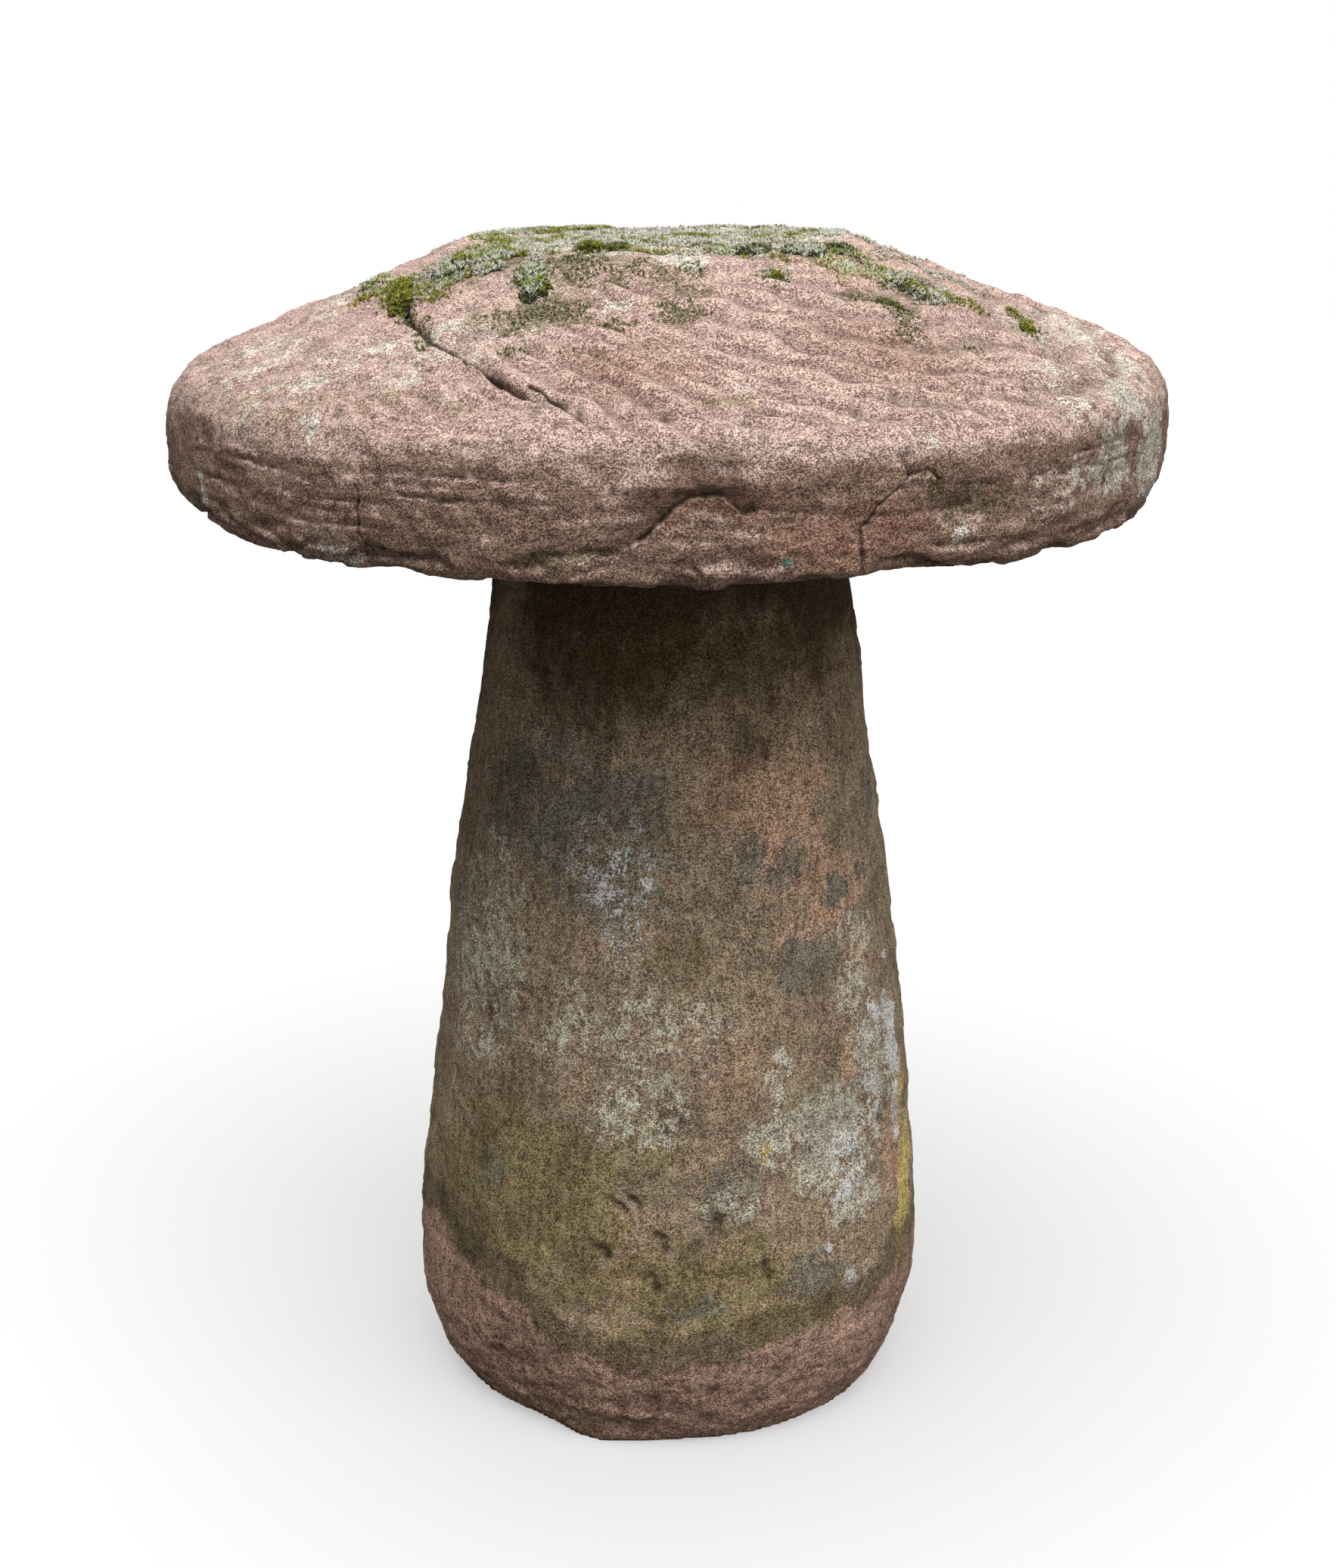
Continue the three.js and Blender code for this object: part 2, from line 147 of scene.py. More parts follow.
def make_world():
    """A sky that is white to the camera and dim to the object."""
    world = bpy.data.worlds.new("soft_sky")
    bpy.context.scene.world = world
    world.use_nodes = True
    tree = world.node_tree
    tree.nodes.clear()
    seen = add_node(tree, "ShaderNodeBackground", {"Color": (1, 1, 1, 1), "Strength": 1.0})
    felt = add_node(
        tree, "ShaderNodeBackground", {"Color": (0.98, 0.98, 0.96, 1), "Strength": SKY_STRENGTH})
    output = tree.nodes.new("ShaderNodeOutputWorld")
    tree.links.new(by_camera(tree, felt.outputs[0], seen.outputs[0]), output.inputs["Surface"])


make_floor()
make_world()
add_light("high_sky", height=76, turn=-20, strength=2.45, angle=60)
add_light("low_sky", height=32, turn=40, strength=1.08, angle=70)
add_light("back_sky", height=38, turn=168, strength=0.6, angle=80)
bpy.context.scene.view_settings.view_transform = "Standard"

camera = bpy.data.objects.new("camera", bpy.data.cameras.new("camera"))
camera.data.lens = CAMERA_LENS
camera.location = (0, -CAMERA_DISTANCE, CAMERA_HEIGHT)
camera.rotation_euler = (math.radians(90 - CAMERA_PITCH), 0, 0)
bpy.context.collection.objects.link(camera)
bpy.context.scene.camera = camera
print("camera", tuple(round(v, 3) for v in camera.location), "lens", camera.data.lens)

# %% [markdown]
# ## A blank of each stone
# A real stone has no facets, so the solid from the frame is only the blank. A copy of its mesh is welded
# and given an even skin of small squares by a voxel remesh, which a formula can then push in and out.
# Subdivision would keep the solid's long thin triangles, and they would show as creases. The skin under
# the cap and under the foot is seldom seen, so it is thinned to leave the squares for the sides.

# %% A blank of each stone
MM = 0.001
SMOOTHING = 6                 # rounds of smoothing
UNDERSIDE_KEPT = 0.07         # share of the hidden skin's vertices that is kept


def new_object(name, mesh):
    """An object with a mesh, in the scene."""
    piece = bpy.data.objects.new(name, mesh)
    bpy.context.collection.objects.link(piece)
    return piece


def applied(piece):
    """The piece's mesh with its modifiers applied. The piece itself is removed."""
    graph = bpy.context.evaluated_depsgraph_get()
    mesh = bpy.data.meshes.new_from_object(piece.evaluated_get(graph))
    bpy.data.objects.remove(piece)
    return mesh


def welded_copy(node):
    """A bmesh of a CAD node with its doubles merged."""
    copy = bmesh.new()
    copy.from_mesh(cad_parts[node].data)
    bmesh.ops.remove_doubles(copy, verts=copy.verts, dist=0.01 * MM)
    return copy


def evened(skin, vertices):
    """Smooths some vertices of a skin, which melts facets and spreads crowded squares."""
    for _ in range(SMOOTHING):
        bmesh.ops.smooth_vert(
            skin, verts=vertices, factor=0.5, use_axis_x=True, use_axis_y=True, use_axis_z=True)


def stone_blank(node, square, hidden):
    """An even skin over a CAD stone, thinned where the test for a hidden vertex says so."""
    copy = welded_copy(node)
    mesh = bpy.data.meshes.new(node)
    copy.to_mesh(mesh)
    copy.free()
    piece = new_object("blank_" + node, mesh)
    remesh = piece.modifiers.new("even_skin", "REMESH")
    remesh.mode = "VOXEL"
    remesh.voxel_size = square * MM
    piece = new_object("blank_" + node, applied(piece))

    group = piece.vertex_groups.new(name="hidden")
    unseen = [vertex.index for vertex in piece.data.vertices if hidden(vertex.co / MM)]
    group.add(unseen, 1, "REPLACE")
    thin = piece.modifiers.new("thin_hidden", "DECIMATE")
    thin.vertex_group = group.name
    thin.vertex_group_factor = 10
    thin.ratio = 1 - (1 - UNDERSIDE_KEPT) * len(unseen) / len(piece.data.vertices)

    skin = bmesh.new()
    skin.from_mesh(applied(piece))
    evened(skin, skin.verts)
    print(node, "blank:", len(skin.verts), "vertices")
    return skin


CAP_SQUARE = 3.3              # mm
STEM_SQUARE = 3.2
STEM_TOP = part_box("stem")[1].z / MM
CAP_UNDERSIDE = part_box("cap")[0].z / MM
CAP_RADIUS = 310
RIM_BAND = 30                 # how far in from the cap's radius its uneven edge reaches
FOOT_FLAT = 135               # radius of the flat under the foot
TOP_FLAT = 98                 # and of the one under the cap
FLAT_DEPTH = 2.5              # how near to a flat face a vertex counts as part of it


def under_cap(spot):
    return spot.z < CAP_UNDERSIDE + FLAT_DEPTH and spot.xy.length < CAP_RADIUS - RIM_BAND


def stem_end(spot):
    under_foot = spot.z < FLAT_DEPTH and spot.xy.length < FOOT_FLAT
    return under_foot or (spot.z > STEM_TOP - FLAT_DEPTH and spot.xy.length < TOP_FLAT)


cap_skin = stone_blank("cap", CAP_SQUARE, under_cap)
stem_skin = stone_blank("stem", STEM_SQUARE, stem_end)

# %% [markdown]
# ## Measures on a round stone
# Whatever is on the side of a round stone is placed as a mason would place it: by its bearing round the
# upright axis, where 0 is +X and -90 the front, and by its height. On the slope of the cap it is placed by
# x and y, as seen from above. A crack is a route of a few straight stretches, and its carving needs the
# distance from each vertex to that route. Bearings become millimetres along the rim, so that a route on
# the rim is measured as if the rim were rolled out flat.

# %% Measures on a round stone
RIM_MM_PER_DEGREE = math.radians(CAP_RADIUS)


def bearing_of(spot):
    return math.degrees(math.atan2(spot.y, spot.x))


def between(bearing, other):
    """The angle from one bearing to another, from -180 to 180."""
    return (bearing - other + 540) % 360 - 180


def fade(distance, reach):
    """1 where there is no distance, falling smoothly to 0 at the reach."""
    share = min(abs(distance) / reach, 1)
    return (1 - share * share) ** 2


def step(low, high, value):
    """0 below low and 1 above high, with a smooth rise between."""
    share = min(max((value - low) / (high - low), 0), 1)
    return share * share * (3 - 2 * share)


def on_rim(route):
    """A route of bearings and heights as millimetres along the rim and up."""
    return [Vector((bearing * RIM_MM_PER_DEGREE, height)) for bearing, height in route]


def in_plan(route):
    """A route of x and y as seen from above."""
    return [Vector(point) for point in route]


def to_route(place, route, reach):
    """The distance to a route, the share of it that has passed, and 1 on its left or -1 on its right."""
    nearest = (reach, 0, 1)
    for index, (start, end) in enumerate(zip(route, route[1:])):
        if not min(start.x, end.x) - reach < place.x < max(start.x, end.x) + reach:
            continue
        if not min(start.y, end.y) - reach < place.y < max(start.y, end.y) + reach:
            continue
        stretch = end - start
        share = min(max((place - start).dot(stretch) / stretch.length_squared, 0), 1)
        gap = place - start - stretch * share
        if gap.length < nearest[0]:
            side = math.copysign(1, stretch.x * gap.y - stretch.y * gap.x)
            nearest = (gap.length, (index + share) / (len(route) - 1), side)
    return nearest


print("a degree of the rim is", round(RIM_MM_PER_DEGREE, 2), "mm")

# %% [markdown]
# ## Cracks and flakes of the cap
# Sandstone parts along its beds and joints. This cap has an open joint down the left of its slope, a
# thin forked one right of the middle of its rim, short upright ones round the rest of it, and flakes
# whose arched tops stand out of the rim. They are listed here once, because both the finer skin and the
# carving use them.

# %% Cracks and flakes of the cap
SLOPE_CRACK = in_plan([
    (-154, -112), (-143, -150), (-132, -172), (-124, -186), (-113, -202), (-100, -222), (-90, -235),
    (-79, -250), (-70, -262), (-60, -273),
])
SLOPE_CRACK_BRANCH = in_plan([(-72, -250), (-62, -260), (-54, -269), (-45, -282)])
RIM_CRACKS = [
    on_rim([(-71, 612), (-71, 634), (-69.4, 646), (-67.4, 655), (-66.2, 662)]),
    on_rim([(-66.2, 662), (-67, 672), (-67.4, 681)]),
    on_rim([(-66.2, 662), (-64, 664), (-62.6, 658), (-63.4, 648)]),
    on_rim([(-122, 650), (-122.4, 628), (-121, 610)]),
    on_rim([(-12, 664), (-11.2, 644), (-12.4, 622)]),
    on_rim([(48, 668), (49, 650), (48.2, 631), (49, 612)]),
    on_rim([(120.6, 658), (120, 640), (121, 618)]),
    on_rim([(169.4, 672), (168.6, 652), (169.2, 634), (167.6, 615)]),
]
FRONT_FLAKE = on_rim([
    (-101, 611), (-98, 614), (-96, 618), (-94.6, 625), (-92.6, 632), (-91, 640), (-89.6, 648),
    (-88, 653.5), (-86, 655), (-84.8, 654), (-84, 650), (-82.8, 645), (-81, 646.5), (-78, 645),
    (-74.5, 642),
])


def arched_flake(bearing, height, half_width, rise):
    """The top edge of a flake: half an oval, made uneven by noise."""
    arch = []
    for degrees in range(176, 3, -12):
        turn = math.radians(degrees)
        uneven = noise.noise_vector(Vector((bearing, degrees / 22, 0)))
        along = half_width * (math.cos(turn) + 0.22 * uneven.x)
        level = height + rise * math.sin(turn) ** 0.8 * (1 + 0.7 * uneven.y)
        arch.append((bearing + along / RIM_MM_PER_DEGREE, level))
    return on_rim(arch)


BACK_FLAKES = [
    arched_flake(84, 634, half_width=64, rise=17), arched_flake(148, 628, half_width=44, rise=22),
]
FLAKES = [FRONT_FLAKE] + BACK_FLAKES
print(len(RIM_CRACKS), "cracks in the rim,", len(FLAKES), "flakes")

# %% [markdown]
# ## A finer skin for the splits
# The solid of the cap already has a plain slot and a plain ledge where the joint and the front flake
# are. They are far wider than the real splits, so the slot is bridged from bank to bank and the ledge is
# filled out to the face of the rim. Squares of 3 mm can't hold a crack of 2 mm, so the skin is then cut
# finer: once over the thin beds in front, and twice near each split.

# %% A finer skin for the splits
RIM_TOP = 668
LEDGE_BEARING = -87                   # the middle of the solid's plain ledge
LEDGE_SPREAD = 22                     # degrees to either side of it
FACE_INSET = 1.5                      # how far the face of the rim lies inside the cap's radius
SLOT_BANK = Vector((0.86, 0.51, 0)) * 8          # from the middle of the solid's plain slot to its bank
SLOT_REACH = 5                        # how far from the crack's route the slot is bridged
SLOT_BLEND = 10                       # and how far from it the bridge is smoothed
RIM_SQUARE = 1.7                      # mm, of the thin beds in front, and within reach of a crack
RIM_SQUARE_REACH = 6
CRACK_SQUARE = 0.85
CRACK_SQUARE_REACH = 3
COARSE = 1.35                         # an edge this many squares long is cut


def nearest_split(spot, reach):
    """The distance from a place on the cap to its nearest crack or flake."""
    if spot.z > RIM_TOP:
        plan = Vector((spot.x, spot.y))
        return min(to_route(plan, route, reach)[0] for route in (SLOPE_CRACK, SLOPE_CRACK_BRANCH))
    place = Vector((bearing_of(spot) * RIM_MM_PER_DEGREE, spot.z))
    return min(to_route(place, route, reach)[0] for route in RIM_CRACKS + FLAKES)


def refine(skin, square, wanted):
    """Cuts the squares in four where they are wanted and still coarser than the size asked for."""
    inside = {vertex for vertex in skin.verts if wanted(vertex.co / MM)}
    longest = COARSE * square * MM
    edges = [
        edge for edge in skin.edges
        if edge.verts[0] in inside and edge.verts[1] in inside and edge.calc_length() > longest
    ]
    bmesh.ops.subdivide_edges(skin, edges=edges, cuts=1, use_grid_fill=True)


def recut_front(skin):
    """Takes the solid's plain ledge off the rim, so that the front flake can follow its own line."""
    moved = []
    for vertex in skin.verts:
        spot = vertex.co / MM
        radius = spot.xy.length
        inside = fade(between(bearing_of(spot), LEDGE_BEARING), LEDGE_SPREAD) ** 0.5
        inside *= step(604, 612, spot.z) * (1 - step(657, RIM_TOP, spot.z))
        if inside > 0 and radius > CAP_RADIUS - RIM_BAND:
            shift = (CAP_RADIUS - FACE_INSET - radius) * min(1.6 * inside, 1)
            vertex.co += Vector((spot.x, spot.y, 0)) * (shift / radius) * MM
            moved.append(vertex)
    evened(skin, moved)


def close_slope_crack(skin):
    """Bridges the solid's plain slot, so that a finer crack can be carved in its place."""
    surface = BVHTree.FromBMesh(skin)
    bank = SLOT_BANK * MM
    above = Vector((0, 0, 0.1))
    near = []
    for vertex in skin.verts:
        on_slope = vertex.co.z > RIM_TOP * MM
        gap = nearest_split(vertex.co / MM, SLOT_BLEND) if on_slope else SLOT_BLEND
        if gap < SLOT_BLEND:
            near.append(vertex)
        if gap < SLOT_REACH:
            sides = [surface.ray_cast(vertex.co + side * bank + above, -above)[0] for side in (-1, 1)]
            vertex.co.z = max(vertex.co.z, (sides[0].z + sides[1].z) / 2)
    evened(skin, near)


def on_front_rim(spot):
    return 607 < spot.z < 664 and abs(between(bearing_of(spot), -90)) < 62 and spot.xy.length > 290


recut_front(cap_skin)
close_slope_crack(cap_skin)
refine(cap_skin, RIM_SQUARE, on_front_rim)
for square, reach in ((RIM_SQUARE, RIM_SQUARE_REACH), (CRACK_SQUARE, CRACK_SQUARE_REACH)):
    refine(cap_skin, square, lambda spot: nearest_split(spot, 2 * reach) < reach)
print("cap squares:", len(cap_skin.faces))

# %% [markdown]
# ## Relief of the slope and the rim
# Weather has worked on this stone in two broad ways: soft ripples where the beds come out of the slope,
# and thin beds that stand out of the rim, with ledges where the lower edge has broken away in layers. A
# sculptor would brush these on. Here each is a short formula that says how far a place is pushed along
# its normal, so the whole round is finished and every run is the same. The same formula notes how much
# dirt a place holds, together with the painted shade of its troughs and recesses.

# %% Relief of the slope and the rim
RIPPLE_LENGTH = 25
RIPPLE_DEPTH = 2.3
RIPPLE_CALM = -160                     # the bearing round which the slope is smooth
RIPPLE_FAINT = 100                     # the one round which the ripples have nearly worn away
RIPPLE_STRONG = -58                    # and the one round which they are plainest
RIM_BEDS = (611, 617, 623, 630, 637, 643, 648.5, 655, 661)     # heights of the lines between beds
BED_LINE_REACH = 1.9
BROKEN_DEPTH = 1.7                     # of each layer that has broken away from the lower edge


def fractal(spot, size):
    """Noise of four sizes at once, about -1 to 1, with its broadest lumps as wide as the size."""
    return noise.fractal(spot / size, 1.0, 2.0, 4)


def slope_relief(spot):
    """Ripples of the slope: how far out, and how much dirt and painted shade their troughs hold."""
    radius = spot.xy.length
    across = 0.9 * spot.x - 0.44 * spot.y - 1.73 * radius
    across += 20 * noise.noise(spot / 70) + 9 * noise.noise(spot / 26)
    strength = step(-0.45, 0.35, noise.noise(spot / 75 + Vector((4, 0, 2))))
    strength *= 1 - fade(between(bearing_of(spot), RIPPLE_CALM), 62)
    strength *= 1 - 0.75 * fade(between(bearing_of(spot), RIPPLE_FAINT), 110)
    strength = max(strength, 0.85 * fade(between(bearing_of(spot), RIPPLE_STRONG), 62) ** 0.6)
    ripple = strength * math.sin(2 * math.pi * across / RIPPLE_LENGTH)
    on_slope = step(125, 150, radius) * (1 - step(286, 302, radius))
    out = on_slope * RIPPLE_DEPTH * ripple
    return out, 0.5 * on_slope * max(-ripple, 0)


def rim_relief(spot):
    """Beds of the rim, ledges where its lower edge broke away in layers, and painted shade where they sink.
    """
    level = spot.z + 5 * noise.noise(Vector((spot.x, spot.y, 0)) / 110)
    beside_flake = 1 - fade(between(bearing_of(spot), -88), 26) ** 0.25
    out = 0.55 * noise.noise(Vector((spot.x / 34, spot.y / 34, level / 4)))
    for bed in RIM_BEDS:
        opened = max(1.5 * noise.noise(Vector((spot.x / 70, spot.y / 70, bed))) + 0.22, 0)
        out -= beside_flake * min(opened, 0.8) * fade(level - bed, BED_LINE_REACH)
    dirt_and_shade = 0.9 * beside_flake * max(-out - 0.25, 0)
    low = 1 - step(614, 632, spot.z)
    broken = noise.noise(Vector((spot.x / 30, spot.y / 30, level / 10)) + Vector((0, 0, 9)))
    ledge = low * step(0.06, 0.13, broken) + 0.7 * low * step(0.24, 0.3, broken)
    return out - BROKEN_DEPTH * ledge, dirt_and_shade + 0.25 * ledge


print("ripples", RIPPLE_LENGTH, "mm long on the slope, and", len(RIM_BEDS), "lines between beds")

# %% [markdown]
# ## Relief of cracks, seams, flakes and hollows
# These have a place of their own, so their formulas ask how far a vertex is from a route or a middle. A
# crack is a narrow groove whose lips have crumbled, and a seam a shallow gap that comes and goes between
# two beds. A flake stands out below its top edge, with a thin dark line over it and a hollow face above.
# The dark of cracks, seams and lines is dirt together with painted shade, and the hollow face and the
# hollows of the rim are darkened with painted shade.

# %% Relief of cracks, seams, flakes and hollows
RIM_SEAMS = [                           # the plainest gaps between thin beds
    on_rim([(-121, 660), (-114, 662), (-107, 661), (-99, 662)]),
    on_rim([(-118, 650), (-111, 649), (-104, 650.5), (-98, 649)]),
    on_rim([(-104.5, 624), (-101, 623.5), (-98, 626), (-95, 626)]),
    on_rim([(-74, 643), (-66, 641), (-58, 643)]),
    on_rim([(-52, 652), (-44, 653), (-36, 650), (-30, 651)]),
    on_rim([(-150, 654), (-140, 656), (-131, 655)]),
    on_rim([(2, 655), (14, 653), (27, 656), (40, 655)]),
    on_rim([(58, 660), (72, 662), (88, 660)]),
    on_rim([(112, 662), (128, 660), (141, 661), (158, 658)]),
]
SEAM_WIDTH = 1.7
SEAM_REACH = 5
SEAM_DEPTH = 1.3
SEAM_DIRT = 0.6
FLAKE_REACH = 27                        # how far above its line a flake has hollowed the face
FLAKE_LINE_WIDTH = 1.2
FLAKE_LINE_DEPTH = 1.2
FLAKE_LIP = 0.7                         # how far the flake stands out under the line
HOLLOWS = (                             # bearing, height, reaches, depth
    (-86, 657, 38, 18, 2.5), (-60, 640, 24, 11, 3.5), (-52, 617, 26, 4.5, 3.5), (-41, 618, 16, 3.5, 3),
    (20, 632, 34, 10, 3), (63, 616, 28, 5, 4), (109, 615, 36, 6, 4), (-176, 620, 30, 6, 3.5),
)


def split_relief(place, routes, width, depth, soiled=1.3):
    """Narrow open cracks with crumbled lips, which close towards the end of their route."""
    out = dirt_and_shade = 0
    for route in routes:
        gap, share, _ = to_route(place, route, 3 * width)
        opened = 1 - 0.75 * step(0.6, 1, share)
        wide = width * (1.15 - 0.5 * share) * (1 + 0.6 * noise.noise(Vector((place.x, place.y, 0)) / 5))
        out -= depth * opened * math.exp(-((gap / wide) ** 2))
        dirt_and_shade += soiled * opened * math.exp(-((gap / (1.2 * wide)) ** 2))
    return out, dirt_and_shade


def seam_relief(place):
    """Shallow gaps between beds, which come and go along their length."""
    out = dirt_and_shade = 0
    for route in RIM_SEAMS:
        gap, share, _ = to_route(place, route, SEAM_REACH)
        uneven = 0.75 + 0.9 * noise.noise(Vector((place.x, 0, 0)) / 16)
        opened = max(math.sin(math.pi * share), 0) ** 0.5 * max(uneven, 0) * fade(gap, SEAM_WIDTH)
        out -= SEAM_DEPTH * opened
        dirt_and_shade += SEAM_DIRT * opened
    return out, dirt_and_shade


def flake_relief(place, route, scoop):
    """A flake's top edge, the line over it, and the hollow face above, which is deepest at the line."""
    gap, share, side = to_route(place, route, FLAKE_REACH)
    if gap >= FLAKE_REACH:
        return 0, 0
    strength = (0.12 + 0.88 * step(0.05, 0.4, share)) * (1 - 0.85 * step(0.72, 1, share))
    opened = min(max(0.62 + 1.1 * noise.noise(Vector((place.x, place.y, 0)) / 9), 0.2), 1)
    line = opened * (0.4 + 0.6 * strength) * math.exp(-((gap / FLAKE_LINE_WIDTH) ** 2))
    if side < 0:
        return FLAKE_LIP * strength * math.exp(-gap / 7) - line, line
    # Above the line, the hollow face is darkened with painted shade, most of all near the line.
    scooped = strength * (1 - step(0, FLAKE_REACH, gap))
    return -scoop * scooped - FLAKE_LINE_DEPTH * line, 0.85 * line + 0.65 * scooped


def hollow_relief(spot, middle, height, wide, high, depth):
    """A shallow hollow of the rim, round a bearing and a height, darkened a little with painted shade."""
    along = between(bearing_of(spot), middle) * RIM_MM_PER_DEGREE
    inside = fade(along, wide) * fade(spot.z - height, high)
    return -depth * inside, 0.3 * inside


print(len(RIM_SEAMS), "seams and", len(HOLLOWS), "hollows in the rim")

# %% [markdown]
# ## Carving the cap
# One formula now puts the reliefs together for any vertex of the cap. It looks up the cracks, seams and
# flakes at a place that noise has moved a little, so that none of their lines is smooth. The dirt that a
# vertex holds, together with the painted shade of low lumps and of the underside, is kept on the mesh as
# a number for the material to read.

# %% Carving the cap
LUMP_DEPTH = 2.2                       # of the worn lumps all over the cap
GRAIN_DEPTH = 0.22
HOLLOW_TOP = RIM_TOP + 30              # where the hollow over a flake has run out on the slope
UNDERSIDE_RADIUS = CAP_RADIUS - 14     # inside it, what faces down is the underside
MEETING_RADIUS = 135                   # inside it, the underside stays flat for the stem


def carved_cap(spot, normal):
    """Where a vertex of the cap goes, and how much dirt and painted shade it holds."""
    radius = spot.xy.length
    # The underside is roughened, and given an even painted shade.
    if normal.z < -0.5 and radius < UNDERSIDE_RADIUS:
        rough = step(MEETING_RADIUS, 190, radius) * (0.9 + fractal(spot, 22))
        return Vector((spot.x, spot.y, max(spot.z, CAP_UNDERSIDE))) - normal * max(rough, 0), 0.4
    out, dirt_and_shade = slope_relief(spot)
    lumps = fractal(spot, 24)
    out += LUMP_DEPTH * lumps + GRAIN_DEPTH * noise.noise(spot / 5)
    # Painted shade in the low places between the lumps.
    dirt_and_shade += 0.2 * max(-lumps, 0)
    cuts = []
    if spot.z > RIM_TOP - 14:
        plan = Vector((spot.x, spot.y))
        plan += 1.6 * noise.noise_vector(spot / 14).xy + 0.5 * noise.noise_vector(spot / 5).xy
        cuts.append(split_relief(plan, [SLOPE_CRACK], width=1.75, depth=4.5))
        cuts.append(split_relief(plan, [SLOPE_CRACK_BRANCH], width=0.9, depth=1.1))
    if spot.z < HOLLOW_TOP:
        place = Vector((bearing_of(spot) * RIM_MM_PER_DEGREE, spot.z))
        place += 1.6 * noise.noise_vector(spot / 11).xy + 0.6 * noise.noise_vector(spot / 4).xy
        on_face = 1 - step(660, 676, spot.z)
        bed_out, bed_dirt_and_shade = rim_relief(spot)
        cuts.append((on_face * bed_out, on_face * bed_dirt_and_shade))
        cuts.append(split_relief(place, RIM_CRACKS, width=0.8, depth=1.6, soiled=0.85))
        cuts.append(seam_relief(place))
        cuts.append(flake_relief(place, FRONT_FLAKE, scoop=4.2))
        cuts.extend(flake_relief(place, route, scoop=3) for route in BACK_FLAKES)
        cuts.extend(hollow_relief(spot, *hollow) for hollow in HOLLOWS)
    out += sum(cut[0] for cut in cuts)
    return spot + normal * out, dirt_and_shade + sum(cut[1] for cut in cuts)


def carve(skin, carved):
    """Moves each vertex to its carved place, and keeps its dirt and painted shade as a number on it."""
    skin.normal_update()
    layer = skin.verts.layers.float.new("dirt_and_shade")
    moves = []
    for vertex in skin.verts:
        spot, vertex[layer] = carved(vertex.co / MM, vertex.normal)
        moves.append(spot * MM)
    for vertex, place in zip(skin.verts, moves):
        vertex.co = place


carve(cap_skin, carved_cap)
heights = [vertex.co.z / MM for vertex in cap_skin.verts]
print("carved cap from", round(min(heights), 1), "to", round(max(heights), 1), "mm up")

# %% [markdown]
# ## Carving the stem
# The stem was dressed to a rough taper and then stood in damp ground. What is left is a gently uneven
# side, a skin that has come off in thin scales, a few slanting pits of the mason's point, and a foot that
# wears away in level beds. The pits are given by the point's stroke: a short line that leans, which the
# distance to a route turns into a groove with round ends.

# %% Carving the stem
STEM_MM_PER_DEGREE = math.radians(165)  # where the stem is broadest, near its foot
TOOL_PITS = (                          # bearing, height, half length, and how far it leans from level
    (-101, 177, 9, 35), (-98, 181, 8, 50), (-92, 157, 10, 60), (-105, 147, 9, 20), (-93, 128, 11, 70),
    (-79, 166, 12, 85), (-68, 128, 9, 60), (-140, 282, 9, 75), (-63, 462, 9, 80), (64, 210, 12, 40),
    (88, 330, 11, 65), (118, 150, 12, 30),
)
PIT_WIDTH = 2.6
PIT_DEPTH = 3.4
PIT_DIRT = 0.455
PIT_REACH = 8                          # how far from its stroke a pit needs finer squares
POCK_DEPTH = 2.4
POCKS = (                              # bearing, height and reach of small round holes
    (-53, 92, 5), (-100, 22, 3.5), (-28, 128, 5), (-123, 392, 4), (-128, 262, 4.5), (-61, 70, 4),
    (20, 160, 5), (71, 90, 6), (152, 240, 5), (-175, 196, 4),
)


def pit_stroke(bearing, height, length, lean):
    """The two ends of a pit's stroke, on the stem's side rolled out flat."""
    along = Vector((-math.cos(math.radians(lean)), math.sin(math.radians(lean)))) * (length - PIT_WIDTH)
    middle = Vector((bearing * STEM_MM_PER_DEGREE, height))
    return [middle - along, middle + along]


PIT_STROKES = [pit_stroke(*pit) for pit in TOOL_PITS]


def stem_relief(spot):
    """How far out a place on the stem's side lies, and how much dirt and painted shade it holds."""
    out = 1.6 * fractal(spot, 46) + 0.4 * noise.noise(spot / 9)
    scale = fractal(Vector((spot.x, spot.y, 1.6 * spot.z)) + Vector((90, 0, 40)), 40)
    out += 0.6 * step(0.02, 0.06, scale) - 0.5 * step(-0.22, -0.18, -scale)
    low = 1 - step(120, 230, spot.z)
    out += 0.6 * low * noise.noise(Vector((spot.x / 24, spot.y / 24, spot.z / 7)))
    foot = 1 - step(30, 80, spot.z)
    out += 1.3 * foot * fractal(Vector((spot.x, spot.y, 2 * spot.z)), 26)
    # Painted shade in the low places of the side.
    dirt_and_shade = 0.25 * max(-out, 0)

    bearing = bearing_of(spot)
    place = Vector((bearing * STEM_MM_PER_DEGREE, spot.z))
    pit_out, pit_dirt_and_shade = split_relief(place, PIT_STROKES, PIT_WIDTH, PIT_DEPTH, soiled=PIT_DIRT)
    for pock_bearing, height, reach in POCKS:
        along = between(bearing, pock_bearing) * STEM_MM_PER_DEGREE
        inside = fade(math.hypot(along, spot.z - height), reach)
        pit_out -= POCK_DEPTH * inside
        pit_dirt_and_shade += 0.5 * inside
    return out + pit_out, dirt_and_shade + pit_dirt_and_shade


